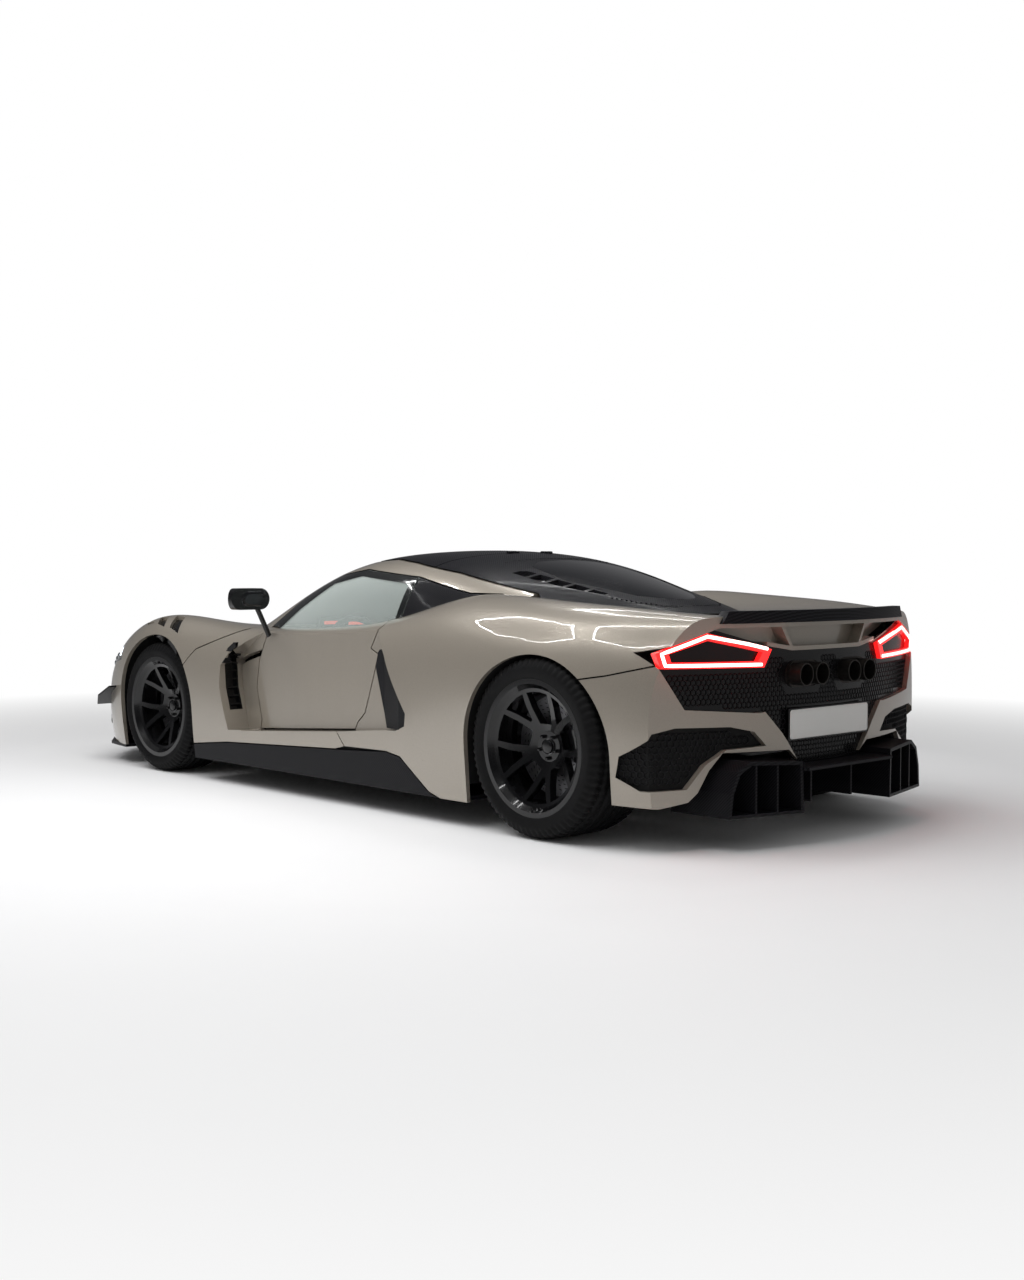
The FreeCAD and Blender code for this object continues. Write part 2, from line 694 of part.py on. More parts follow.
def hinge_bar(start, end, radius):
    """Bar along the door axis, between two distances from the hinge."""
    return Part.makeCylinder(radius, end - start, DOOR_HINGE + DOOR_AXIS * start,
                             DOOR_AXIS)


# Curved arm that reaches from the pin, behind the side skin, into the door
ARM = ((-12, 0), (12, 0), (30, 100), (245, 100), (245, 118), (10, 118))
corners = [DOOR_HINGE + BACK * u + INWARD * v - DOOR_AXIS * arm_half for u, v in ARM]
arm_plate = Part.Face(Part.makePolygon(corners + corners[:1]))
arm_plate = arm_plate.extrude(DOOR_AXIS * arm_half * 2)
bore = hinge_bar(-60, 60, pin_r + 0.05)
lug = less(joined([arm_plate, hinge_bar(-arm_half, arm_half, pin_r + 5)]), bore)
door = joined([door, lug])
node("door_left", kept(door))
node("door_right", mirrored(kept(door)))
hx, hy, hz = DOOR_HINGE
arm_room = hinge_bar(-arm_half - gap, arm_half + gap, 250)
arm_room = arm_room.common(box(along(1900), along(2195), 600, 912 * wide, 500, 800))
edge_room = box(along(1900), along(2036), 600, 826 * wide, 560, 715)

# Vent with slats in the step in front of the side channel
VENT = ((2095, 668), (2150, 634), (2188, 577), (2179, 468), (2144, 361), (2124, 300),
        (2150, 296), (2170, 355), (2206, 465), (2216, 585), (2170, 655), (2110, 690))
vent_zone = side_prism(VENT, 842 * wide, 915 * wide)
side_skin = less(skin_left.common(side_region), arm_room, edge_room, vent_zone)
side_skin = over(side_skin, 50000)
slat_gaps = vent_zone.copy()
slat_gaps.translate(V(-10, 0, 0))
rows = [box(along(2000), along(2300), 850 * wide, 907 * wide, z * tall, (z + 32) * tall)
        for z in range(312, 680, 40)]
vent = less(vent_zone, slat_gaps.common(joined(rows)))
ear = arm_half + 1
link = less(box(hx - 12, hx + 34, hy - 4, hy + 60, hz - 32, hz + 38),
            hinge_bar(-ear, ear, 90))
door_hinge = joined([hinge_bar(-ear - 15, ear + 15, pin_r),
                     hinge_bar(-ear - 15, -ear, pin_r + 5),
                     hinge_bar(ear, ear + 15, pin_r + 5), link])
door_hinge = kept(less(door_hinge, side_skin).common(hull))
node("door_hinges", both(door_hinge))
vent = less(vent, arm_room, hinge_bar(-ear - 18, ear + 18, pin_r + 8), link)
vents = [over(vent, 2000)]
FIN_PLAN = ((700, 962), (700, 845), (1100, 845), (1100, 862), (1000, 880), (850, 925),
            (749, 940))
fin = side_prism(FIN, 700, y_out).common(plan_prism(FIN_PLAN, 0, 1500))
fin = less(fin, plan_prism([(s + 22, y - 22) for s, y in FIN_PLAN], 0, 1500))
node("side_fins", both(kept(less(fin.common(hull), door_room))))
node("side_skirts", both(kept(skin_left.common(skirt_prism))))
node("side_panels", both(side_skin))

# Cabin outlines in side view
RAIL = ((2330, 690), (2282, 728), (2100, 850), (1912, 945), (1730, 1028), (1545, 1077),
        (1305, 1090), (1147, 1075), (841, 1029), (445, 943), (445, 900), (563, 940),
        (697, 943), (1013, 1010), (1412, 1043), (1624, 1015), (1848, 905),
        (2036, 745), (2060, 690))
WINDOW = ((2060, 690), (2036, 745), (1848, 905), (1624, 1015), (1412, 1043),
          (1013, 1010), (1013, 600), (2060, 600))
QUARTER = ((1013, 600), (1013, 1010), (697, 943), (563, 940), (445, 900), (300, 880),
           (300, 600))
TOP = ((2340, 1300), (2340, 700), (2330, 690), (2282, 728), (2100, 850), (1912, 945),
       (1730, 1028), (1545, 1077), (1305, 1090), (1147, 1075), (841, 1029), (445, 943),
       (300, 860), (-300, 700), (-300, 1300))
lid_prism = side_prism(TOP, -y_out, y_out, -gap).common(
    box(along(-400), along(1000), -1000, 1000, 500, 1300))
ring_layer = less(cabin_inner, cabin_backing, hull, lid_prism)
rail_zone = side_prism(RAIL, -y_out, y_out, -backing_width)
screen_bar = box(along(1625), along(1675), -1000, 1000, 500, 1300)
roof_bar = box(along(1000) + gap / 2, along(1050), -1000, 1000, 500, 1300)
cowl_bar = box(along(2250), along(2340), -1000, 1000, 500, 1300)
top_zone = side_prism(TOP, -y_out, y_out, -backing_width)
bars = [bar.common(top_zone) for bar in (screen_bar, roof_bar, cowl_bar)]
ring_zone = joined([rail_zone, mirrored(rail_zone)] + bars)
node("cabin_frame", over(ring_layer.common(ring_zone), 20000))
rail_prism = side_prism(RAIL, y_in, y_out, gap / 2)
node("cantrails", both(over(canopy_left.common(rail_prism), 50000)))
top_prism = side_prism(TOP, -y_out, y_out, gap / 2)
top = canopy.common(top_prism)
screen_zone = box(along(1650) + gap / 2, along(2400), -1000, 1000, 500, 1300)
roof_zone = box(along(1000) + gap / 2, along(1650) - gap / 2, -1000, 1000, 500, 1300)
lid_zone = box(along(-300), along(1000) - gap / 2, -1000, 1000, 500, 1300)
node("windscreen", kept(pane.common(top_prism).common(screen_zone)))
roof = kept(top.common(roof_zone))
lid = kept(less(top.common(lid_zone), hull_raised))


def height_at(shape, x, y):
    """Height of the top of a solid above a point."""
    probe = Part.makeLine(V(x, y, 0), V(x, y, 3000)).common(shape)
    return max(v.Point.z for v in probe.Vertexes)


lid_x = along(1000) - gap / 2
lid_z = height_at(cabin, lid_x, 0)
REAR_GLASS = ((760, 0), (750, 200), (690, 285), (456, 305), (300, 240), (150, 180),
              (60, 90), (30, 0))
REAR_GLASS += tuple((s, -y) for s, y in reversed(REAR_GLASS[1:-1]))
lid_hole = plan_prism(REAR_GLASS, 600, 1300)
COVER_SLOT = ((700, 430), (650, 352), (230, 268), (230, 290), (420, 372), (560, 410))
slot_zone = plan_prism(COVER_SLOT, 600, 1300)
lid_slots = [slot_zone.common(box(along(s), along(s + 72), 0, 1000, 600, 1300))
             for s in (240, 330, 420, 510, 600)]
lid_slots += [mirrored(slot) for slot in lid_slots]
barrels, pins = [], []
for y in (110, -110):
    ends = [Part.makeCylinder(pin_r, 20, V(lid_x, y + k, lid_z), V(0, 1, 0))
            for k in (-34, 14)]
    pins += ends + [Part.makeCylinder(pin_r / 2, 60, V(lid_x, y - 30, lid_z), V(0, 1, 0))]
    pins += [box(lid_x, lid_x + gap + 16, y + k, y + k + 20, lid_z - 16, lid_z - 2)
             for k in (-34, 14)]
    barrels.append(Part.makeCylinder(pin_r, 17, V(lid_x, y - 8.5, lid_z), V(0, 1, 0)))
    barrels.append(box(lid_x - 14, lid_x, y - 8.5, y + 8.5, lid_z - 14, lid_z))
rooms = [Part.makeCylinder(pin_r + 6, 80, V(lid_x, y - 40, lid_z), V(0, 1, 0))
         for y in (110, -110)]
holes = [Part.makeCylinder(pin_r / 2 + 0.05, 80, V(lid_x, y - 40, lid_z), V(0, 1, 0))
         for y in (110, -110)]
node("roof", kept(joined([less(roof, *rooms)] + pins)))
lid = less(joined([less(lid, lid_hole, *(rooms + lid_slots))] + barrels), *holes)
node("engine_cover", kept(lid))
node("rear_glass", kept(pane.common(plan_prism(REAR_GLASS, 600, 1300, fit))))
window_prism = side_prism(WINDOW, y_in, y_out, gap / 2)
sill_room = hull_raised.common(box(along(1930), along(2100), 0, 1000, 500, 1000))
window = kept(less(pane.common(window_prism), sill_room))
node("door_glass_left", window)
node("door_glass_right", mirrored(window))
quarter_prism = side_prism(QUARTER, y_in, y_out, gap / 2)
node("quarter_panels", both(kept(canopy_left.common(quarter_prism))))

# Mirrors
head = joined([box(-14, 70, -56, 56, -50, 50)]
              + [round_bar((-14, y, 0), (70, y, 0), 50) for y in (-56, 56)])
head = head.common(Part.makeSphere(125, V(-50, 0, 0)))
head.translate(V(along(1850), 1000 * wide, 905 * tall))
stalk = round_bar((along(1900), 850 * wide, 720 * tall),
                  (along(1868), 960 * wide, 895 * tall), 12)
mirror = kept(joined([head, less(stalk, hull)]))
node("mirror_left", mirror)
node("mirror_right", mirrored(mirror))

# Front winglets
WING = ((3245, 410), (3551, 294), (3553, 302), (3247, 418))
WING_PLAN = ((3200, 955), (3400, 930), (3551, 850), (3600, 600), (3200, 600))
wing = side_prism(WING, 500, 1300).common(plan_prism(WING_PLAN, 0, 1000))
node("canards", both(kept(less(wing, hull))))

# Arch liners
liners = []
for x, z, radius in ((front_axle, front_hub_z, front_liner),
                     (rear_axle, rear_hub_z - 12, rear_arch_radius)):
    outer_arch = arch(x, z, radius + 4, 560 * wide, 1200)
    liner = less(outer_arch, arch(x, z, radius, 500, 1250), *louvre_trays)
    liner = liner.common(inner_face)
    liners.append(kept(liner.common(box(-3000, 3000, 0, 1300, 180, 1000))))
vents += louvre_trays
node("vents", Part.makeCompound(vents + [mirrored(vent) for vent in vents]))
node("arch_liners", Part.makeCompound(liners + [mirrored(k) for k in liners]))

# Floor pan, tub and subframes
floor_top = floor + 20
tub_low = floor_top + fit


def cleared(shape):
    """A chassis shape kept inside the body and out of its doors and arches."""
    return kept(less(shape.common(inner_face), door_room, mirrored(door_room), *arches))


pan = cleared(box(along(410), along(2425), -1000, 1000, floor, floor_top))
node("floor_pan", pan)
tub = [box(along(960), along(990), -760 * wide, 760 * wide, tub_low, 800),
       box(along(2300), along(2330), -650 * wide, 650 * wide, tub_low, 690),
       box(along(990), along(2300), -120, 120, tub_low, 330)]
front = [box(along(3440), along(3500), -330, 330, 160, 300)]
rear = [box(along(-400), along(-340), -390, 390, 160, 260),
        box(along(300), along(360), -390, 390, 200, 262),
        box(along(820), along(880), -390, 390, 200, 262)]
for side in (1, -1):
    tub.append(box(along(960), along(2330), side * 680 * wide, side * 780 * wide,
                   tub_low, 320))
    front.append(box(along(2330) + fit, along(3500), side * 260, side * 330, 160, 300))
    rear.append(box(along(-400), along(960) - fit, side * 330, side * 390, 160, 260))
    for dx in (-180, 180):
        front.append(box(front_axle + dx - 25, front_axle + dx + 25, side * 290,
                         side * 330, 299, 490))
        rear.append(box(rear_axle + dx - 25, rear_axle + dx + 25, side * 350, side * 390,
                        259, 510))
tub = cleared(joined(tub))
node("monocoque", tub)
subframes = [cleared(joined(front)), cleared(joined(rear))]
node("subframes", Part.makeCompound(subframes))
DASH = ((2300 - fit, 560), (2300 - fit, 690), (2150, 740), (1950, 720), (1930, 600))
dash = side_prism(DASH, -655 * wide, 655 * wide)
tail_room = rear_prism(panel_line, -900, -200)
liner_room = arch(front_axle, front_hub_z, front_liner, 500, 1200)
liners += [mirrored(k) for k in liners]
frames = less(strips, pan, tub, tail_room, liner_room, mirrored(liner_room), dash,
              arm_room, mirrored(arm_room), *(subframes + liners))
node("panel_frames", over(frames, 20000))
splitter = plan_prism(((2430, 860), (3120, 900), (3400, 850), (3620, 700), (3790, 500),
                       (3850, 360), (3850, -360), (3790, -500), (3620, -700),
                       (3400, -850), (3120, -900), (2430, -860)), floor - 15, floor)
cutters = [box(front_axle - 380, front_axle + 380, s * 500, s * 1200, 0, 500)
           for s in (1, -1)]
node("splitter", kept(less(splitter, *cutters)))

# Engine
engine = doc.addObject("Part::Box", "engine")
engine.Label = "engine"
engine.setExpression("Length", "Sizes.engine_length")
engine.setExpression("Width", "Sizes.engine_width")
engine.setExpression("Height", "Sizes.engine_height")
engine.Placement.Base = V(along(240), -number(size("engine_width")) / 2, 262)
NODES.append(engine)

# Seats and dashboard
SEAT = ((1130, floor_top + fit), (1110, 640), (1060, 830), (1160, 850), (1230, 640), (1290, 330),
        (1700, 370), (1700, 240), (1500, floor_top + fit))
half = number(size("seat_width")) / 2
seats = [side_prism(SEAT, y - half, y + half) for y in (400, -400)]
node("seats", Part.makeCompound(seats))
node("dashboard", dash)
wheel_r = number(size("steering_wheel_radius"))
rim_r = number(size("steering_rim_radius"))
rim = Part.makeTorus(wheel_r, rim_r)
spokes = joined([Part.makeCylinder(38, 30, V(0, 0, -15)),
                 box(-wheel_r, wheel_r, -12, 12, -8, 8)])
steering = joined([rim, spokes, Part.makeCylinder(18, 60, V(0, 0, -75))])
tube = Part.makeCylinder(26, 220, V(0, 0, -75 - fit - 220))
column = FreeCAD.Rotation(V(0, 1, 0), -70) * FreeCAD.Rotation(V(0, 0, 1), 90)
seat_of_wheel = FreeCAD.Placement(V(along(1780), 400, 640), column)
node("steering_wheel", steering, seat_of_wheel)
tube.Placement = seat_of_wheel
node("steering_column", less(Part.makeCompound([tube]), dash).Solids[0])


# Wheels
def plane(body, role):
    return [item for item in body.Origin.OriginFeatures if item.Role == role][0]


def outline(body, name, role, points):
    """Closed sketch through points given as (across, up) sizes."""
    sketch = body.newObject("Sketcher::SketchObject", name)
    sketch.AttachmentSupport = (plane(body, role), [""])
    sketch.MapMode = "FlatFace"
    count = len(points)
    places = [V(float(a), float(b), 0) for a, b in points]
    for k in range(count):
        line = Part.LineSegment(places[k], places[(k + 1) % count])
        sketch.addGeometry(line, False)
    for k in range(count):
        join = Sketcher.Constraint("Coincident", k, 2, (k + 1) % count, 1)
        sketch.addConstraint(join)
    for k, point in enumerate(points):
        for kind, value in zip(("DistanceX", "DistanceY"), point):
            value = value if isinstance(value, Size) else Size(value)
            rule = Sketcher.Constraint(kind, -1, 1, k, 1, value.number)
            index = sketch.addConstraint(rule)
            sketch.setExpression("Constraints[%d]" % index, value.formula)
    return sketch


def revolved(body, name, points):
    sketch = outline(body, name + "_outline", "YZ_Plane", points)
    turn = body.newObject("PartDesign::Revolution", name)
    turn.Profile = sketch
    turn.ReferenceAxis = (sketch, ["H_Axis"])
    turn.Angle = 360
    return turn


def new_body(name, x, y, z, turned):
    body = doc.addObject("PartDesign::Body", name)
    body.Label = name
    angle = 180 if turned else 0
    body.Placement = FreeCAD.Placement(V(x, y, z), FreeCAD.Rotation(V(0, 0, 1), angle))
    NODES.append(body)
    return body


def add_tyre(name, spot, end):
    radius = size(end + "_tyre_radius")
    bead = size(end + "_rim_radius")
    half = size(end + "_tyre_width") / 2
    body = new_body(name, *spot)
    seat = bead + size("fit_gap")
    inside = half - 17 - size("fit_gap")
    revolved(body, "carcass_" + name, (
        (-inside, seat), (-inside, bead + 18), (-half + 2, bead + 24),
        (-half, radius * 0.86), (-half + 10, radius - 22), (-half + 34, radius - 3),
        (-half * 0.4, radius), (half * 0.4, radius), (half - 34, radius - 3),
        (half - 10, radius - 22), (half, radius * 0.86), (half - 2, bead + 24),
        (inside, bead + 18), (inside, seat), (inside - 14, seat),
        (inside - 10, bead + 30), (half - 24, radius - 34), (-half + 24, radius - 34),
        (-inside + 10, bead + 30), (-inside + 14, seat)))


# Windows of the wheel: name, middle angle and corners as (share of rim, turn);
# a share of 1 stands for the edge of the rim well
WINDOWS = (
    ("big_window", 0, ((0.37, -20), (0.62, -18), (1, -15), (1, -5), (1, 5), (1, 15),
                       (0.62, 18), (0.37, 20))),
    ("small_window", 36, ((0.47, -3), (0.7, -10.5), (1, -15), (1, -5), (1, 5), (1, 15),
                          (0.7, 10.5), (0.47, 3))),
)


def add_wheel(name, spot, end):
    rim = size(end + "_rim_radius")
    half = size(end + "_tyre_width") / 2
    hub = size("hub_radius")
    bore = size("hub_bore")
    body = new_body(name, *spot)
    face = half - size("rim_inset")
    back = face - size("hub_depth")
    revolved(body, "rim_" + name, (
        (-half + 8, rim - 8), (-half + 8, rim + 16), (-half + 16, rim + 16),
        (-half + 17, rim), (half - 17, rim), (half - 16, rim + 16), (half - 8, rim + 16),
        (half - 8, rim - 4), (half - 30, rim - 22), (face - 4, hub), (face - 4, bore),
        (back, bore), (back, hub), (half - 66, rim - 34), (-half + 30, rim - 20)))
    pockets = []
    for label, middle, corners in WINDOWS:
        points = []
        for share, turn in corners:
            angle = math.radians(middle + turn)
            reach = rim * share if share < 1 else rim - 36
            points.append((reach * math.sin(angle), reach * math.cos(angle)))
        window = outline(body, label + "_sketch_" + name, "XZ_Plane", points)
        pocket = body.newObject("PartDesign::Pocket", label + "_" + name)
        pocket.Profile = window
        pocket.Type = "ThroughAll"
        pocket.Midplane = True
        pockets.append(pocket)
    pattern = body.newObject("PartDesign::PolarPattern", "windows_" + name)
    pattern.Originals = pockets
    pattern.Axis = (plane(body, "Y_Axis"), [""])
    pattern.Angle = 360
    body.Tip = pattern
    pattern.setExpression("Occurrences", "Sizes.spoke_count")


def add_disc(name, spot, end):
    radius = size(end + "_disc_radius")
    half = size(end + "_tyre_width") / 2
    thick = size("disc_thickness")
    hub = size("hub_radius")
    bore = size("hub_bore")
    body = new_body(name, *spot)
    inner = half - size("rim_inset") - size("hub_depth") - size("fit_gap")
    revolved(body, "rotor_" + name, (
        (inner, bore), (inner, radius), (inner - thick, radius), (inner - thick, hub + 45),
        (inner - 12, hub + 10), (inner - 12, bore)))


CORNERS = (
    ("fl", "front", front_axle, 1), ("fr", "front", front_axle, -1),
    ("rl", "rear", rear_axle, 1), ("rr", "rear", rear_axle, -1))
for corner, end, x, side in CORNERS:
    half_tyre = number(size(end + "_tyre_width")) / 2
    y = side * (number(size(end + "_track_face")) - half_tyre)
    spot = (x, y, number(size(end + "_tyre_radius")), side < 0)
    add_tyre("tyre_" + corner, spot, end)
    add_wheel("wheel_" + corner, spot, end)
    add_disc("disc_" + corner, spot, end)

# Knuckles, uprights, calipers and arms
spindle = number(size("hub_bore")) - 0.05
post_r = number(size("kingpin_radius"))
hub_face = number(size("rim_inset") + size("hub_depth"))
arm_reach = post_r + 10
disc_t = number(size("disc_thickness"))
arms = []
for corner, end, x, side in CORNERS:
    outer = number(size(end + "_track_face"))
    z = number(size(end + "_tyre_radius"))
    rail_y = 330 if end == "front" else 390
    pin_y = (outer - hub_face - fit - disc_t - arm_reach
             - number(size("arm_clearance")))
    disc_y = outer - hub_face - fit - disc_t
    post = Part.makeCylinder(post_r, 300, V(x, pin_y, z - 150))
    hub = joined([post, round_bar((x, pin_y, z), (x, outer - 105, z), spindle),
                  box(x - 50, x + 50, pin_y - 26, disc_y - 6, z - 60, z + 60),
                  box(x - 130, x - 40, pin_y - 14, pin_y + 6, z - 18, z + 18)])
    tilt = 55
    radius = number(size(end + "_disc_radius"))
    pad = Part.makeCylinder(radius + 7, disc_t + 50, V(x, disc_y - 25, z), V(0, 1, 0))
    pad = less(pad, Part.makeCylinder(radius - 70, 400, V(x, disc_y - 200, z), V(0, 1, 0)),
               Part.makeCylinder(radius + 2, disc_t + 10, V(x, disc_y - 5, z),
                                 V(0, 1, 0)))
    wedge = Part.makeCylinder(radius + 80, 400, V(x, disc_y - 200, z), V(0, 1, 0), tilt)
    wedge.rotate(V(x, 0, z), V(0, 1, 0), -tilt / 2 + 90 + 65 + 120)
    caliper = pad.common(wedge)
    hanger = box(x - 150, x - 40, pin_y - 10, disc_y - 20, z - 55, z - 35)
    hub = less(joined([hub, hanger]), caliper)
    for height in (-120, 120):
        ring = Part.makeCylinder(arm_reach, 18, V(x, pin_y, z + height - 9))
        legs = [round_bar((x, pin_y, z + height), (x + dx, rail_y - 5, z + height), 11)
                for dx in (-180, 180)]
        arm = less(joined([ring] + legs),
                   Part.makeCylinder(post_r + 0.05, 400, V(x, pin_y, z - 200)))
        arm = arm.common(box(x - 400, x + 400, rail_y, 1000, 0, 1000))
        arms.append(arm if side > 0 else mirrored(arm))
    if side < 0:
        hub, caliper = mirrored(hub), mirrored(caliper)
    if end == "front":
        node("knuckle_" + corner, hub)
        node("caliper_" + corner, caliper)
    elif side > 0:
        rear_hub, rear_caliper = hub, caliper
    else:
        node("rear_uprights", Part.makeCompound([rear_hub, hub]))
        node("calipers_rear", Part.makeCompound([rear_caliper, caliper]))
node("suspension", Part.makeCompound(arms))

doc.recompute()
for part in NODES:
    if any(word in part.State for word in ("Invalid", "Error")):
        raise RuntimeError(part.Label + " failed: " + ", ".join(part.State))
    if part.Shape.isNull() or not part.Shape.isValid():
        raise RuntimeError(part.Label + " has no valid shape")
for item in doc.Objects:
    if any(word in item.State for word in ("Invalid", "Error")):
        raise RuntimeError(item.Label + " failed: " + ", ".join(item.State))
for part in NODES:
    part.Shape.exportStep("parts/" + part.Label + ".step")
print(len(NODES), "parts written")
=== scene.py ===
import json
import math

import bmesh
import bpy
from bpy.props import FloatProperty, FloatVectorProperty, IntProperty, PointerProperty
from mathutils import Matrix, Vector
from mathutils.bvhtree import BVHTree


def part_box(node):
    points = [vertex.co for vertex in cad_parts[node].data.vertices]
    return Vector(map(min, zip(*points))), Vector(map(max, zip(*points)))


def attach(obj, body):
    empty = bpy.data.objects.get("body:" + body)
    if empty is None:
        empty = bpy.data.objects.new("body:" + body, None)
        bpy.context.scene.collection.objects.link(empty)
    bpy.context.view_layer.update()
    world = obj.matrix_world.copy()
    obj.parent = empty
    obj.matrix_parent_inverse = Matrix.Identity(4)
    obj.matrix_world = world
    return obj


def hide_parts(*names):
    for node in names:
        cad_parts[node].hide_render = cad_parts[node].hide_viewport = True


bl_info = {
    "name": "Hypercar dressing",
    "version": (1, 0, 0),
    "blender": (4, 5, 0),
    "location": "3D View > Sidebar > Hypercar",
    "description": "Paint, glass, tyres, mesh and trim for a mid-engined hypercar",
    "category": "Object",
}

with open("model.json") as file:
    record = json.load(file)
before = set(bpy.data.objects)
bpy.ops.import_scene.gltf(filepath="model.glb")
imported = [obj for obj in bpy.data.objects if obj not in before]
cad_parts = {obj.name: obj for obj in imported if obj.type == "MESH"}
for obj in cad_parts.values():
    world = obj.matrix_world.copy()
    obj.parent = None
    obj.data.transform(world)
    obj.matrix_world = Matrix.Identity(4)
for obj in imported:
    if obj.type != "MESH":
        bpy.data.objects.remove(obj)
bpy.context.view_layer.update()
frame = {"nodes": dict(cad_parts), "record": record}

# Places in metres. A station is a place ahead of the rear axle, in millimetres.
REAR_AXLE = -1.523
FRONT_AXLE = 1.277
TAIL_RADIUS = 2.054
TAIL_CENTRE = REAR_AXLE + 1.336
RAY_AHEAD = 3.5
RAY_ABOVE = 3.0
RAY_BESIDE = 2.0
CORNERS = (("fl", 1), ("fr", -1), ("rl", 1), ("rr", -1))
SIDES = (("left", "l", 1), ("right", "r", -1))
RIM_RADIUS = {"f": 0.2413, "r": 0.254}


# Sizes and colours that a user may change
class StageSettings(bpy.types.PropertyGroup):
    floor_color: FloatVectorProperty(
        name="Floor colour", description="Colour of the studio floor",
        default=(0.76, 0.76, 0.765), subtype="COLOR", min=0, max=1)
    key_power: FloatProperty(
        name="Key light", description="Power of the big soft light overhead",
        default=215.0, unit="POWER", min=0)
    tube_power: FloatProperty(
        name="Tube power", description="Power of one thin light tube", default=4.5,
        unit="POWER", min=0)
    lens: FloatProperty(
        name="Lens", description="Focal length of the camera", default=44.59,
        unit="CAMERA")


class PaintSettings(bpy.types.PropertyGroup):
    body_color: FloatVectorProperty(
        name="Body colour", description="Colour of the metallic body paint",
        default=(0.31, 0.277, 0.232), subtype="COLOR", min=0, max=1)
    flake_size: FloatProperty(
        name="Flake size", description="Width of one metal flake in the paint",
        default=0.0012, unit="LENGTH", min=0.0001)
    weave_size: FloatProperty(
        name="Tow width", description="Width of one carbon tow in the weave",
        default=0.0032, unit="LENGTH", min=0.0005)


class TyreSettings(bpy.types.PropertyGroup):
    blocks: IntProperty(
        name="Tread blocks", description="Tread blocks round one tyre",
        default=72, min=12, max=160)
    groove_depth: FloatProperty(
        name="Groove depth", description="Depth of the tread grooves",
        default=0.006, unit="LENGTH", min=0)


class MeshSettings(bpy.types.PropertyGroup):
    pitch: FloatProperty(
        name="Mesh pitch", description="Distance between the middles of two cells",
        default=0.021, unit="LENGTH", min=0.006)
    wire: FloatProperty(
        name="Wire radius", description="Radius of the wires between the cells",
        default=0.0019, unit="LENGTH", min=0.0003)
    side_pitch: FloatProperty(
        name="Side mesh pitch", description="Distance between the cells of the intakes",
        default=0.026, unit="LENGTH", min=0.006)
    side_wire: FloatProperty(
        name="Side wire radius", description="Radius of the wires of the intakes",
        default=0.0032, unit="LENGTH", min=0.0003)


class TrimSettings(bpy.types.PropertyGroup):
    dash_spacing: FloatProperty(
        name="Dash spacing", description="Distance between the engine cover's vent dashes",
        default=0.021, unit="LENGTH", min=0.005)
    nut_circle: FloatProperty(
        name="Nut circle", description="Radius of the circle of wheel nuts",
        default=0.046, unit="LENGTH", min=0.02)
    pad_height: FloatProperty(
        name="Pad height", description="Height of a seat pad's crown over its seam",
        default=0.03, unit="LENGTH", min=0.005)


# Nodes
class Wire:
    """An output in a graph of nodes; arithmetic on it adds Math nodes."""

    def __init__(self, graph, socket):
        self.graph = graph
        self.socket = socket

    def out(self, name):
        """Another output of the same node."""
        return Wire(self.graph, self.socket.node.outputs[name])

    def math(self, operation, *others):
        """A Math node on this wire and others."""
        values = dict(enumerate((self,) + others))
        return self.graph.add("ShaderNodeMath", {"operation": operation}, values)

    def __add__(self, other):
        return self.math("ADD", other)

    __radd__ = __add__

    def __mul__(self, other):
        return self.math("MULTIPLY", other)

    __rmul__ = __mul__

    def __sub__(self, other):
        return self.math("SUBTRACT", other)

    def __rsub__(self, other):
        return (self * -1.0) + other

    def __truediv__(self, other):
        return self.math("DIVIDE", other)

    def __lt__(self, other):
        return self.math("LESS_THAN", other)

    def __gt__(self, other):
        return self.math("GREATER_THAN", other)


class Graph:
    """The nodes and links of one material, world or Geometry Nodes tree."""

    def __init__(self, tree):
        self.nodes = tree.nodes
        self.links = tree.links
        self.nodes.clear()

    def add(self, kind, settings=None, values=None, output=0):
        """A node of a kind, with its settings first and then its socket values."""
        node = self.nodes.new(kind)
        for name, value in (settings or {}).items():
            if name == "stops":
                ramp = node.color_ramp
                while len(ramp.elements) < len(value):
                    ramp.elements.new(0.5)
                for stop, (place, tone) in zip(ramp.elements, value):
                    stop.position = place
                    stop.color = tone
            else:
                setattr(node, name, value)
        for name, value in (values or {}).items():
            if isinstance(value, Wire):
                self.links.new(value.socket, node.inputs[name])
            else:
                node.inputs[name].default_value = value
        return Wire(self, node.outputs[output])

    def finish_with(self, kind, wire, socket="Surface"):
        """Sends a wire to the graph's one output node."""
        outputs = [node for node in self.nodes if node.bl_idname == kind]
        output = outputs[0] if outputs else self.nodes.new(kind)
        self.links.new(wire.socket, output.inputs[socket])


def socket_name(word):
    """The name of a Principled socket that a keyword stands for."""
    return word.replace("_", " ").title().replace("Ior", "IOR")


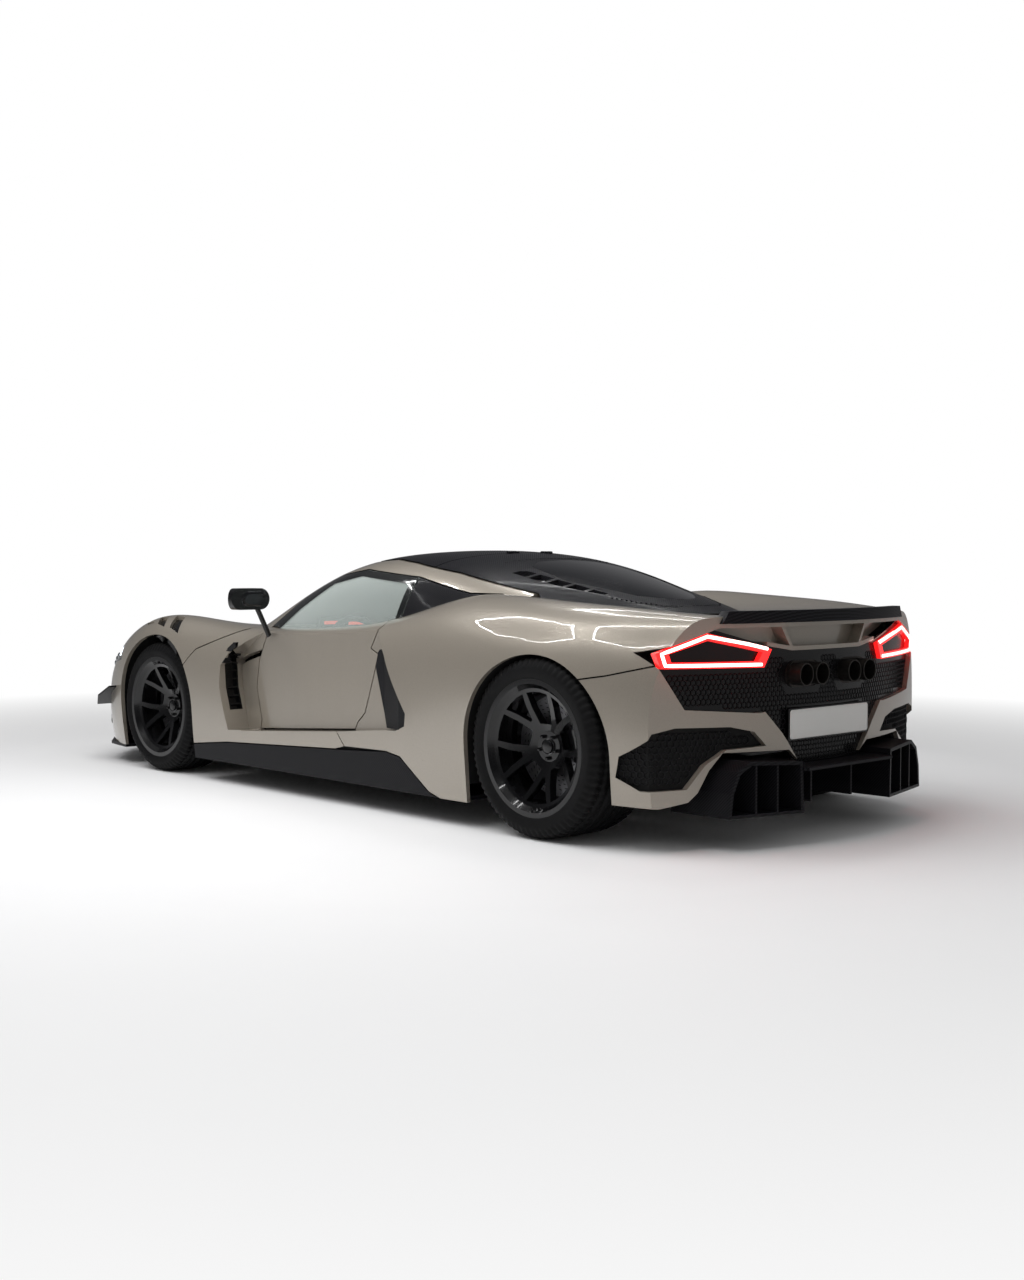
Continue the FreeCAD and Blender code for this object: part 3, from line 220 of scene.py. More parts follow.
class Finish(Graph):
    """A material that is being built round one Principled shader."""

    made = {}

    def __init__(self, name, color, **values):
        self.material = bpy.data.materials.new(name)
        self.material.use_nodes = True
        super().__init__(self.material.node_tree)
        sockets = {"Base Color": (*color, 1.0)}
        sockets.update({socket_name(word): value for word, value in values.items()})
        self.shader = self.add("ShaderNodeBsdfPrincipled", {}, sockets)
        self.finish_with("ShaderNodeOutputMaterial", self.shader)
        self.material.diffuse_color = (*color, 1.0)
        Finish.made[name] = self.material

    def feed(self, **wires):
        """Links wires to sockets of the main shader."""
        for word, wire in wires.items():
            socket = self.shader.socket.node.inputs[socket_name(word)]
            self.links.new(wire.socket, socket)

    def place(self):
        """The place on the piece, in metres."""
        return self.add("ShaderNodeTexCoord").out("Object")

    def split(self, vector):
        """A vector's X, Y and Z."""
        return self.add("ShaderNodeSeparateXYZ", {}, {0: vector})

    def noise(self, scale, detail):
        """Cloudy pattern from 0 to 1, with a scale in cells a metre."""
        return self.add("ShaderNodeTexNoise", {}, {
            "Vector": self.place(), "Scale": scale, "Detail": detail}).out("Fac")

    def blend(self, factor, first, second):
        """A colour between two, by a factor."""
        return self.add("ShaderNodeMix", {"data_type": "RGBA"},
                        {0: factor, 6: first, 7: second}, output=2)

    def bump(self, height, distance, strength):
        """Raises the surface by a height times a distance."""
        normal = self.add("ShaderNodeBump", {}, {
            "Height": height, "Distance": distance, "Strength": strength})
        self.feed(normal=normal)


# Finishes
FULL_TURN = 2 * math.pi
# Near-black for the brake discs' drilled holes: painted shade
HOLE_SHADE_BLACK = (0.004, 0.004, 0.004, 1.0)
TOW_DARK = (0.004, 0.004, 0.005, 1)
TOW_LIGHT = (0.013, 0.013, 0.015, 1)
TWILL_REPEAT = 4.0
DRILL_ARMS = 36.0
DRILL_TWIST = 60.0
DRILL_ROWS = 55.0
DRILL_RADIUS = 0.0035
DRILLED_FROM = 0.105
DRILLED_TO = 0.19
DISC_HEIGHT_FRONT = 0.334
DISC_HEIGHT_REAR = 0.3575


def shade(color, factor):
    """A darker or lighter tone of a colour."""
    return (color[0] * factor, color[1] * factor, color[2] * factor, 1.0)


def body_paint(settings):
    """Metallic paint with fine flakes under a clear coat."""
    color = settings.body_color
    finish = Finish("champagne_paint", color, metallic=0.45, roughness=0.34,
                    coat_weight=1.0, coat_roughness=0.02)
    flakes = finish.add("ShaderNodeTexVoronoi", {}, {
        "Vector": finish.place(), "Scale": 1.0 / settings.flake_size})
    grey = finish.add("ShaderNodeRGBToBW", {}, {0: flakes.out("Color")})
    tone = finish.blend(grey, shade(color, 0.9), shade(color, 1.1))
    finish.feed(base_color=tone, roughness=grey * 0.1 + 0.27)
    finish.bump(finish.noise(scale=260.0, detail=1.0), distance=0.00008, strength=0.25)


def carbon(name, settings, roughness, coat):
    """Twill woven carbon: tows two over and two under, shifted by one each row."""
    finish = Finish(name, (0.012, 0.012, 0.013), roughness=roughness, coat_weight=coat,
                    coat_roughness=0.08, specular_ior_level=0.06)
    place = finish.split(finish.place())
    facing = finish.split(finish.add("ShaderNodeNewGeometry").out("Normal"))
    flat = facing.out("Z").math("ABSOLUTE") > 0.6
    across = place.out("Y") * flat + place.out("Z") * (1.0 - flat)
    u = place.out("X") / settings.weave_size
    v = across / settings.weave_size
    step = (u.math("FLOOR") + v.math("FLOOR")) / TWILL_REPEAT
    over = step.math("FRACT").math("ABSOLUTE") < 0.45
    strands = (u * over + v * (1.0 - over)) * FULL_TURN
    ridge = strands.math("SINE") * 0.5 + 0.5
    tone = finish.blend(over, TOW_DARK, TOW_LIGHT)
    finish.feed(base_color=tone, roughness=over * 0.12 + (roughness - 0.06))
    finish.bump(ridge * 0.4 + over * 0.6, distance=0.0002, strength=0.35)


def tinted_glass(name, color, least):
    """Glass that is clearest head-on and closes towards a slant."""
    finish = Finish(name, color, roughness=0.02, coat_weight=1.0, coat_roughness=0.01)
    slant = finish.add("ShaderNodeLayerWeight", {}, {"Blend": 0.2}).out("Facing")
    haze = finish.noise(scale=5.0, detail=2.0) * 0.02
    finish.feed(alpha=slant * (1.0 - least) + haze + least)


def plain(name, color, roughness, metallic=0.0, coat=0.0, grain=120.0, depth=0.0002,
          spread=0.12, strength=0.4):
    """Solid finish with fine grain in its colour, roughness and surface."""
    finish = Finish(name, color, metallic=metallic, roughness=roughness,
                    coat_weight=coat, coat_roughness=0.05, specular_ior_level=0.2)
    fine = finish.noise(scale=grain, detail=4.0)
    broad = finish.noise(scale=grain / 14.0, detail=2.0)
    tone = finish.blend(broad, shade(color, 1.0 - spread), shade(color, 1.0 + spread))
    finish.feed(base_color=tone, roughness=fine * 0.14 + (roughness - 0.07))
    finish.bump(fine, depth, strength)


def leather(name, color):
    """Leather with creases between its grains, its colour darkened in the creases as painted
    shade.
    """
    finish = Finish(name, color, roughness=0.5, coat_weight=0.1, coat_roughness=0.3)
    cells = finish.add("ShaderNodeTexVoronoi", {"feature": "DISTANCE_TO_EDGE"},
                       {"Vector": finish.place(), "Scale": 420.0}).out("Distance")
    crease = cells.math("MINIMUM", 0.12) * 8.0
    # Painted shade: the colour is darker in the creases between the grains
    tone = finish.blend(crease, shade(color, 0.6), shade(color, 1.1))
    finish.feed(base_color=tone, roughness=0.62 - crease * 0.14)
    finish.bump(crease, distance=0.0004, strength=0.5)


def glow(name, color, strength):
    """Lit lens whose light ripples a little."""
    finish = Finish(name, color, roughness=0.25, coat_weight=1.0, coat_roughness=0.03,
                    emission_strength=strength)
    ripple = finish.noise(scale=60.0, detail=1.0)
    finish.feed(emission_color=finish.blend(ripple, shade(color, 0.85), (*color, 1.0)))


def drilled_disc(name, axle, height, color):
    """Machined iron with fine rings and drilled holes round the wheel's axle; the holes are
    not cut but painted near-black as painted shade.
    """
    finish = Finish(name, color, metallic=0.9, roughness=0.35)
    place = finish.split(finish.place())
    across = place.out("X") - axle
    up = place.out("Z") - height
    reach = (across * across + up * up).math("SQRT")
    rings = finish.noise(scale=900.0, detail=2.0)
    turn = up.math("ARCTAN2", across) / FULL_TURN
    spiral = turn * DRILL_ARMS + reach * DRILL_TWIST
    round_way = (spiral.math("FRACT") - 0.5) * reach * (FULL_TURN / DRILL_ARMS)
    out_way = ((reach * DRILL_ROWS).math("FRACT") - 0.5) / DRILL_ROWS
    off = (round_way * round_way + out_way * out_way).math("SQRT")
    hole = (off < DRILL_RADIUS) * (reach > DRILLED_FROM) * (reach < DRILLED_TO)
    tone = finish.blend(rings, shade(color, 0.75), shade(color, 1.15))
    # Painted shade: each drilled hole is coloured near-black in place of the dark inside of
    # a real hole
    finish.feed(base_color=finish.blend(hole, tone, HOLE_SHADE_BLACK),
                roughness=rings * 0.2 + 0.25 + hole * 0.4)
    finish.bump(rings * 0.2 - hole, distance=0.001, strength=0.6)


SLOT_FINISH = {
    "paint": "champagne_paint", "black_trim": "gloss_black", "red_lens": "red_glow",
    "lamp_lens": "clear_lens", "carbon": "gloss_carbon", "carbon_satin": "satin_carbon",
    "exhaust_metal": "exhaust_metal", "screen_glass": "screen_glass",
    "dark_glass": "dark_glass", "side_glass": "side_glass", "engine_alloy": "cast_alloy",
    "leather": "dark_leather", "leather_dark": "dark_leather",
    "chassis_alloy": "machined_alloy", "chassis_steel": "satin_black",
    "tyre_rubber": "tyre_rubber", "wheel_black": "wheel_gloss_black",
    "disc_iron": "rear_disc_iron", "liner_plastic": "liner_plastic",
    "caliper_paint": "caliper_black",
}
NODE_FINISH = {"disc_fl": "front_disc_iron", "disc_fr": "front_disc_iron",
               "grilles": "liner_plastic"}


def finish_of(slot):
    """The finish of a slot in the record."""
    return Finish.made[SLOT_FINISH[slot]]


class HYPERCAR_OT_finishes(bpy.types.Operator):
    """Make every finish and put each one on its solids"""

    bl_idname = "hypercar.finishes"
    bl_label = "Finishes"

    def execute(self, context):
        settings = context.scene.hypercar_paint
        body_paint(settings)
        carbon("gloss_carbon", settings, roughness=0.34, coat=0.08)
        carbon("satin_carbon", settings, roughness=0.45, coat=0.0)
        tinted_glass("screen_glass", (0.1, 0.125, 0.115), least=0.22)
        tinted_glass("side_glass", (0.66, 0.73, 0.7), least=0.03)
        tinted_glass("dark_glass", (0.004, 0.0045, 0.005), least=0.86)
        tinted_glass("clear_lens", (0.03, 0.032, 0.034), least=0.55)
        plain("gloss_black", (0.004, 0.004, 0.0045), roughness=0.22, coat=0.3, grain=300.0,
              depth=0.00005)
        plain("frit_black", (0.008, 0.009, 0.009), roughness=0.12, coat=1.0, grain=200.0,
              depth=0.00002)
        plain("mirror_silver", (0.5, 0.52, 0.53), roughness=0.08, metallic=0.95, grain=40.0,
              depth=0.00001, spread=0.03)
        plain("mirror_dark", (0.05, 0.052, 0.055), roughness=0.08, metallic=0.9, grain=40.0,
              depth=0.00001, spread=0.03)
        plain("screen_dark", (0.004, 0.004, 0.005), roughness=0.15, coat=1.0, grain=60.0,
              depth=0.00001)
        plain("satin_black", (0.009, 0.009, 0.01), roughness=0.45, metallic=0.2)
        plain("exhaust_metal", (0.05, 0.046, 0.042), roughness=0.35, metallic=0.9,
              grain=220.0, spread=0.35)
        plain("cast_alloy", (0.3, 0.3, 0.31), roughness=0.55, metallic=0.8, grain=90.0,
              depth=0.0006, strength=0.8)
        plain("machined_alloy", (0.42, 0.42, 0.43), roughness=0.35, metallic=0.9,
              grain=260.0)
        plain("wheel_gloss_black", (0.004, 0.004, 0.0045), roughness=0.2, metallic=0.2,
              coat=0.6, grain=300.0, depth=0.00005)
        plain("caliper_black", (0.012, 0.012, 0.013), roughness=0.3, coat=1.0, grain=200.0)
        plain("tyre_rubber", (0.003, 0.003, 0.0033), roughness=0.7, grain=160.0,
              depth=0.0003, spread=0.3)
        plain("liner_plastic", (0.008, 0.008, 0.008), roughness=0.75, grain=400.0,
              depth=0.0006)
        plain("plate_white", (0.62, 0.62, 0.6), roughness=0.4, coat=0.3, grain=60.0,
              spread=0.02)
        leather("tan_leather", (0.1, 0.075, 0.06))
        leather("dark_leather", (0.03, 0.03, 0.03))
        glow("red_glow", (0.85, 0.012, 0.012), strength=1.5)
        glow("hot_glow", (1.0, 0.62, 0.56), strength=3.2)
        glow("day_glow", (0.85, 0.92, 1.0), strength=3.0)
        glow("screen_glow", (0.75, 0.09, 0.06), strength=0.9)
        drilled_disc("front_disc_iron", FRONT_AXLE, DISC_HEIGHT_FRONT, (0.2, 0.2, 0.21))
        drilled_disc("rear_disc_iron", REAR_AXLE, DISC_HEIGHT_REAR, (0.2, 0.2, 0.21))
        slots = {p["node"]: p["material_slot"] for p in frame["record"]["subparts"]}
        for name, solid in frame["nodes"].items():
            finish = NODE_FINISH.get(name, SLOT_FINISH[slots[name]])
            solid.data.materials.clear()
            solid.data.materials.append(Finish.made[finish])
        return {"FINISHED"}


# Shapes
WELD = 1e-6


def new_piece(name, mesh, slot, finish=None):
    """A piece made from a mesh, with its finish, or the finish of the record's slot when
    none is given.
    """
    piece = bpy.data.objects.new(name, mesh)
    bpy.context.scene.collection.objects.link(piece)
    mesh.materials.clear()
    mesh.materials.append(Finish.made[finish] if finish else finish_of(slot))
    return piece


def mesh_of(name, points, faces, smooth=False):
    """A mesh of points and faces, shaded flat or smooth."""
    mesh = bpy.data.meshes.new(name)
    mesh.from_pydata(points, [], faces)
    mesh.validate()
    if smooth:
        mesh.shade_smooth()
    return mesh


def poured(name, work):
    """A mesh with what was made in a BMesh, which is freed."""
    mesh = bpy.data.meshes.new(name)
    work.to_mesh(mesh)
    work.free()
    return mesh


def recalculated(mesh):
    """The mesh with its doubles merged and its faces turned outwards."""
    work = bmesh.new()
    work.from_mesh(mesh)
    bmesh.ops.remove_doubles(work, verts=work.verts, dist=WELD)
    bmesh.ops.recalc_face_normals(work, faces=work.faces)
    work.to_mesh(mesh)
    work.free()
    return mesh


def joined_mesh(name, meshes):
    """One mesh that holds several."""
    work = bmesh.new()
    for mesh in meshes:
        work.from_mesh(mesh)
    return poured(name, work)


def loft(name, rings, closed=True):
    """Skin over rings that have the same number of points."""
    count = len(rings[0])
    points = [p for ring in rings for p in ring]
    faces = []
    for k in range(len(rings) - 1):
        for i in range(count if closed else count - 1):
            j = (i + 1) % count
            faces.append((k * count + i, k * count + j, (k + 1) * count + j,
                          (k + 1) * count + i))
    return mesh_of(name, points, faces, smooth=True)


def turned(name, profile, middle, side, steps):
    """Piece turned about the Y axis from (radius, out) points."""
    rings = []
    for k in range(steps + 1):
        angle = FULL_TURN * k / steps
        rings.append([(middle.x + r * math.cos(angle), middle.y + side * out,
                       middle.z + r * math.sin(angle)) for r, out in profile])
    return recalculated(loft(name, rings, closed=False))


def block(name, low, high, radius):
    """Box with rounded edges between two corners."""
    work = bmesh.new()
    bmesh.ops.create_cube(work, size=1.0)
    middle = (Vector(low) + Vector(high)) / 2
    size = Vector(high) - Vector(low)
    for vert in work.verts:
        vert.co = Vector(a * b for a, b in zip(vert.co, size)) + middle
    bmesh.ops.bevel(work, geom=work.edges, offset=radius, segments=3, affect="EDGES",
                    profile=0.5)
    bmesh.ops.recalc_face_normals(work, faces=work.faces)
    return poured(name, work)


def between(first, second, share):
    """The point at a share of the way from one to another."""
    return tuple(a + (b - a) * share for a, b in zip(first, second))


def resampled(points, steps):
    """A route with each leg cut into steps."""
    route = [between(a, b, k / steps) for a, b in zip(points, points[1:])
             for k in range(steps)]
    return route + [points[-1]]


def met(places):
    """The places where a ray met a surface."""
    return [place for place in places if place is not None]


def plain_mesh(piece):
    """The mesh that modifiers or a bevel make of a piece, which is removed."""
    graph = bpy.context.evaluated_depsgraph_get()
    mesh = bpy.data.meshes.new_from_object(piece.evaluated_get(graph))
    piece.modifiers.clear()
    bpy.data.objects.remove(piece)
    return mesh


def tube_along(name, places, radius, cyclic=False):
    """Round tube along places, as a plain mesh."""
    curve = bpy.data.curves.new(name, "CURVE")
    curve.dimensions = "3D"
    curve.bevel_depth = radius
    curve.bevel_resolution = 1
    curve.use_fill_caps = True
    line = curve.splines.new("POLY")
    line.points.add(len(places) - 1)
    for point, place in zip(line.points, places):
        point.co = (*place, 1.0)
    line.use_cyclic_u = cyclic
    holder = bpy.data.objects.new(name, curve)
    bpy.context.scene.collection.objects.link(holder)
    return recalculated(plain_mesh(holder))


def tail_x(y, depth=0.0):
    """X of the curved tail at a half width, moved forward by a depth."""
    return TAIL_CENTRE - math.sqrt((TAIL_RADIUS - depth) ** 2 - y * y)


class Surface:
    """The faces of CAD nodes, for pieces that lie on them."""

    def __init__(self, *names):
        work = bmesh.new()
        for name in names:
            work.from_mesh(frame["nodes"][name].data)
        self.tree = BVHTree.FromBMesh(work)
        work.free()

    def cast(self, start, way, lift):
        """Where a ray meets the faces, lifted off them towards its start."""
        place, normal, _, _ = self.tree.ray_cast(start, way)
        if place is None:
            return None
        if normal.dot(way) > 0:
            normal = -normal
        return place + normal * lift

    def side(self, side, station, z, lift):
        """The outermost place at a station and height on one side."""
        start = Vector((REAR_AXLE + station / 1000, side * RAY_BESIDE, z / 1000))
        return self.cast(start, Vector((0, -side, 0)), lift)

    def top(self, station, y, lift=0.0):
        """The highest place at a station and width."""
        start = Vector((REAR_AXLE + station / 1000, y / 1000, RAY_ABOVE))
        return self.cast(start, Vector((0, 0, -1)), lift)

    def front(self, lift):
        """A way to lay a point of a front view on the faces."""
        way = Vector((-1, 0, 0))
        return lambda y, z: self.cast(Vector((RAY_AHEAD, y, z)), way, lift)


# Geometry Nodes
def node_tree(name, inputs, build):
    """A tree with named inputs; what build makes of them is realized and painted."""
    group = bpy.data.node_groups.new(name, "GeometryNodeTree")
    group.interface.new_socket("Geometry", in_out="INPUT",
                               socket_type="NodeSocketGeometry")
    for label, kind, value in inputs:
        socket = group.interface.new_socket(label, in_out="INPUT", socket_type=kind)
        if value is not None:
            socket.default_value = value
    group.interface.new_socket("Finish", in_out="INPUT",
                               socket_type="NodeSocketMaterial")
    group.interface.new_socket("Geometry", in_out="OUTPUT",
                               socket_type="NodeSocketGeometry")
    graph = Graph(group)
    given = graph.add("NodeGroupInput")
    real = graph.add("GeometryNodeRealizeInstances", {}, {0: build(graph, given)})
    painted = graph.add("GeometryNodeSetMaterial", {}, {
        "Geometry": real, "Material": given.out("Finish")})
    graph.finish_with("NodeGroupOutput", painted, "Geometry")
    return group


def cells(graph, given):
    """Wires round the cells between a sheet's triangles."""
    dual = graph.add("GeometryNodeDualMesh", {}, {0: given.out("Geometry")})
    curve = graph.add("GeometryNodeMeshToCurve", {}, {"Mesh": dual})
    ring = graph.add("GeometryNodeCurvePrimitiveCircle", {}, {
        "Resolution": 4, "Radius": given.out("Wire radius")})
    return graph.add("GeometryNodeCurveToMesh", {}, {
        "Curve": curve, "Profile Curve": ring})


def dashes(graph, given):
    """Small blocks at even spaces along a route."""
    curve = graph.add("GeometryNodeMeshToCurve", {}, {"Mesh": given.out("Geometry")})
    even = graph.add("GeometryNodeResampleCurve", {"mode": "LENGTH"}, {
        "Curve": curve, "Length": given.out("Spacing")})
    tangent = graph.add("GeometryNodeInputTangent")
    turn = graph.add("FunctionNodeAlignRotationToVector", {"axis": "X"}, {
        "Vector": tangent})
    cube = graph.add("GeometryNodeMeshCube", {}, {"Size": given.out("Block")})
    return graph.add("GeometryNodeInstanceOnPoints", {}, {
        "Points": even, "Instance": cube, "Rotation": turn})


def grown(piece, group, values):
    """The plain mesh that a Geometry Nodes tree makes from a piece."""
    modifier = piece.modifiers.new(group.name, "NODES")
    modifier.node_group = group
    for item in group.interface.items_tree:
        if item.in_out == "INPUT" and item.name in values:
            modifier[item.identifier] = values[item.name]
    return plain_mesh(piece)


# Cell mesh
MESH_FIELD = [(0.0, 0.3), (0.205, 0.3), (0.3, 0.425), (0.395, 0.5), (0.738, 0.534),
              (0.826, 0.672), (0.385, 0.672), (0.345, 0.735), (0.0, 0.735)]
MESH_DEPTH = 0.0185
PLATE_FIELD = (0.25, 0.05)
PLATE_HEIGHT = 0.451
EXHAUST_MIDDLE = (0.16, 0.645)
EXHAUST_HALF = 0.052
EXHAUST_RADIUS = 0.07
SIDE_INTAKE = [(0.864, 0.445), (0.777, 0.464), (0.551, 0.459), (0.439, 0.435),
               (0.381, 0.379), (0.565, 0.373), (0.655, 0.321), (0.729, 0.234),
               (0.881, 0.232), (0.915, 0.279), (0.915, 0.358)]
INTAKE_AXIS = (-1.75, 0.5)
INTAKE_BEND = 0.45
INTAKE_OUTSIDE = 1.2
INTAKE_REACH = [(-0.2, 0.225), (0.66, 0.225), (0.66, 0.47), (-0.2, 0.47)]
NOSE_INTAKE = [(-0.3, 0.14), (-0.29, 0.235), (0.29, 0.235), (0.3, 0.14)]
CORNER_INTAKE = [(0.44, 0.165), (0.42, 0.25), (0.6, 0.3), (0.78, 0.285), (0.83, 0.21),
                 (0.77, 0.16)]
CORNER_FIELD_PITCH = 0.009
CORNER_FIELD_LIFT = 0.001
CORNER_WIRE_SHARE = 0.8
CORNER_WIRE_LIFT = 0.003
WIRE_LIFT = 0.002


def inside(y, z, outline):
    """Whether a point of a rear or front view lies in a closed outline."""
    hit = False
    for (y1, z1), (y2, z2) in zip(outline, outline[1:] + outline[:1]):
        if (z1 > z) != (z2 > z) and y < (y2 - y1) * (z - z1) / (z2 - z1) + y1:
            hit = not hit
    return hit


def in_exhaust(y, z):
    """Whether a point lies in the rounded outline of an exhaust housing."""
    across = max(0.0, abs(abs(y) - EXHAUST_MIDDLE[0]) - EXHAUST_HALF)
    return math.hypot(across, z - EXHAUST_MIDDLE[1]) < EXHAUST_RADIUS


def lattice(name, outline, pitch, laid):
    """Sheet of triangles in an outline, with each point where laid puts it."""
    low_y, high_y = min(p[0] for p in outline), max(p[0] for p in outline)
    low_z, high_z = min(p[1] for p in outline), max(p[1] for p in outline)
    rise = pitch * math.sqrt(3) / 2
    places, index = [], {}
    for row in range(int((high_z - low_z) / rise) + 2):
        for column in range(int((high_y - low_y) / pitch) + 2):
            y = low_y + (column + 0.5 * (row % 2)) * pitch
            z = low_z + row * rise
            place = laid(y, z) if inside(y, z, outline) else None
            if place is not None:
                index[(row, column)] = len(places)
                places.append(place)
    faces = []
    for row, column in index:
        shift = row % 2
        for corners in (((row, column), (row, column + 1), (row + 1, column + shift)),
                        ((row, column), (row + 1, column + shift),
                         (row + 1, column + shift - 1))):
            if all(corner in index for corner in corners):
                faces.append([index[corner] for corner in corners])
    return mesh_of(name, places, faces)


def wire_mesh(name, sheet, radius):
    """Cell mesh that Geometry Nodes grow from a sheet of triangles."""
    base = new_piece(name + "_sheet", sheet, "black_trim")
    tree = node_tree("cell_mesh", (("Wire radius", "NodeSocketFloat", 0.002),), cells)
    mesh = grown(base, tree, {
        "Wire radius": radius, "Finish": Finish.made["satin_black"]})
    piece = new_piece(name, mesh, "black_trim", "satin_black")
    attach(piece, "car")


class HYPERCAR_OT_tail_mesh(bpy.types.Operator):
    """Cell mesh over the black tail panel"""

    bl_idname = "hypercar.tail_mesh"
    bl_label = "Tail mesh"

    def execute(self, context):
        settings = context.scene.hypercar_mesh
        outline = MESH_FIELD + [(-y, z) for y, z in reversed(MESH_FIELD[1:-1])]

        def on_tail(y, z):
            behind_plate = (abs(y) < PLATE_FIELD[0]
                            and abs(z - PLATE_HEIGHT) < PLATE_FIELD[1])
            if in_exhaust(y, z) or behind_plate:
                return None
            return (tail_x(y, MESH_DEPTH), y, z)

        sheet = lattice("tail_sheet", outline, settings.pitch, on_tail)
        wire_mesh("tail_mesh", sheet, settings.wire)
        return {"FINISHED"}


class HYPERCAR_OT_intake_mesh(bpy.types.Operator):
    """Coarser cell mesh in the side intakes of the tail and in the nose"""

    bl_idname = "hypercar.intake_mesh"
    bl_label = "Intake mesh"

    def execute(self, context):
        settings = context.scene.hypercar_mesh
        surface = Surface("grilles")
        for word, _, side in SIDES:
            def on_plate(along, z):
                """The place on the intake's plate at a distance round its bend."""
                angle = along / INTAKE_BEND
                out = Vector((-math.cos(angle), side * math.sin(angle), 0))
                axis = Vector((INTAKE_AXIS[0], side * INTAKE_AXIS[1], z))
                place = surface.cast(axis + out * INTAKE_OUTSIDE, -out, WIRE_LIFT)
                if place is None or not inside(side * place.y, z, SIDE_INTAKE):
                    return None
                return place

            sheet = lattice("side_sheet", INTAKE_REACH, settings.side_pitch, on_plate)
            wire_mesh("intake_mesh_" + word, sheet, settings.side_wire)
        sheet = lattice("nose_sheet", NOSE_INTAKE, settings.side_pitch,
                        surface.front(WIRE_LIFT))
        wire_mesh("nose_mesh", sheet, settings.side_wire)
        return {"FINISHED"}


class HYPERCAR_OT_corner_intakes(bpy.types.Operator):
    """Black meshed fields on the nose's lower corners; each field is a black sheet on the
    body, painted shade for the inside of the intake
    """

    bl_idname = "hypercar.corner_intakes"
    bl_label = "Corner intakes"

    def execute(self, context):
        settings = context.scene.hypercar_mesh
        surface = Surface("front_clamshell")
        for word, _, side in SIDES:
            outline = [(side * y, z) for y, z in CORNER_INTAKE]
            # Painted shade: a black sheet laid just off the clamshell stands in for the dark
            # inside of the intake
            field = lattice("corner_field_" + word, outline, CORNER_FIELD_PITCH,
                            surface.front(CORNER_FIELD_LIFT))
            piece = new_piece("corner_field_" + word, field, "black_trim")
            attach(piece, "car")
            sheet = lattice("corner_sheet", outline, settings.side_pitch,
                            surface.front(CORNER_WIRE_LIFT))
            wire_mesh("corner_mesh_" + word, sheet,
                      settings.side_wire * CORNER_WIRE_SHARE)
        return {"FINISHED"}


# Body trim
BONNET = ((2440, 0), (2450, 300), (2500, 430), (2900, 400), (3300, 330), (3620, 260),
          (3690, 150), (3710, 0))
SEAM_STEPS = 16
SEAM_RADIUS = 0.0016
WIPER = ((2255, -60), (2235, 260), (2170, 470))
WIPER_STEPS = 12
WIPER_LIFT = 0.012
WIPER_PIVOT = Vector((0.03, -0.12, -0.004))
BLADE_RADIUS = 0.005
ARM_RADIUS = 0.006


class HYPERCAR_OT_seams(bpy.types.Operator):
    """Bonnet seam, wiper and its arm"""

    bl_idname = "hypercar.seams"
    bl_label = "Seams and wiper"

    def execute(self, context):
        surface = Surface("front_clamshell")
        route = list(BONNET) + [(station, -y) for station, y in reversed(BONNET[1:-1])]
        places = met(surface.top(station, y)
                     for station, y in resampled(route + [route[0]], SEAM_STEPS))
        mesh = tube_along("bonnet_seam", places[:-1], SEAM_RADIUS, cyclic=True)
        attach(new_piece("bonnet_seam", mesh, "black_trim", "frit_black"), "car")
        glass = Surface("windscreen")
        blade = met(glass.top(station, y, WIPER_LIFT)
                    for station, y in resampled(WIPER, WIPER_STEPS))
        rubber = tube_along("wiper_blade", blade, BLADE_RADIUS)
        arm = tube_along("wiper_arm", [blade[0] + WIPER_PIVOT, blade[3],
                                       blade[len(blade) // 2]], ARM_RADIUS)
        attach(new_piece("wiper", joined_mesh("wiper", (rubber, arm)), "black_trim",
                          "satin_black"), "car")
        return {"FINISHED"}


LAMP_LINE = [(0.376, 0.7475), (0.47, 0.768), (0.648, 0.8), (0.826, 0.739), (0.812, 0.695),
             (0.6, 0.692), (0.404, 0.689)]
LAMP_LINE_STEPS = 8
LAMP_LINE_DEPTH = 0.003
LAMP_LINE_RADIUS = 0.0075
HALO_PLACES = ((0.42, 0.715), (0.6, 0.745), (0.8, 0.72))
HALO_COLOR = (1.0, 0.04, 0.03)
HALO_DISTANCE = 0.05
HALO_POWER = 0.25
HALO_RADIUS = 0.03


def lamp_halo(side):
    """Weak red lights that tint the body round a tail lamp."""
    for y, z in HALO_PLACES:
        lamp = bpy.data.lights.new("halo", "POINT")
        lamp.color = HALO_COLOR
        lamp.energy = HALO_POWER
        lamp.shadow_soft_size = HALO_RADIUS
        light = bpy.data.objects.new("halo", lamp)
        light.location = (tail_x(y) - HALO_DISTANCE, side * y, z)
        light.visible_camera = False
        light.visible_glossy = False
        bpy.context.scene.collection.objects.link(light)


class HYPERCAR_OT_tail_light_lines(bpy.types.Operator):
    """White-hot line in each tail lamp loop, open at its inner end"""

    bl_idname = "hypercar.tail_light_lines"
    bl_label = "Tail light lines"

    def execute(self, context):
        for word, _, side in SIDES:
            name = "tail_light_line_" + word
            places = [(tail_x(y, LAMP_LINE_DEPTH), side * y, z)
                      for y, z in resampled(LAMP_LINE, LAMP_LINE_STEPS)]
            mesh = tube_along(name, places, LAMP_LINE_RADIUS)
            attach(new_piece(name, mesh, "red_lens", "hot_glow"), "car")
            lamp_halo(side)
        return {"FINISHED"}


WINDOW_BAND = (((2054, 702), (1968, 712)), ((2034, 745), (1925, 752)),
               ((1846, 903), (1800, 858)), ((1624, 1013), (1610, 975)),
               ((1412, 1041), (1408, 1012)), ((1015, 1008), (1050, 981)),
               ((1015, 740), (1050, 742)))
WINDOW_MIDDLE = (1450, 860)
BAND_STRIPS = 5
BAND_STEPS = 14
BAND_LIFT = 0.0008
DRAW_STEPS = 200


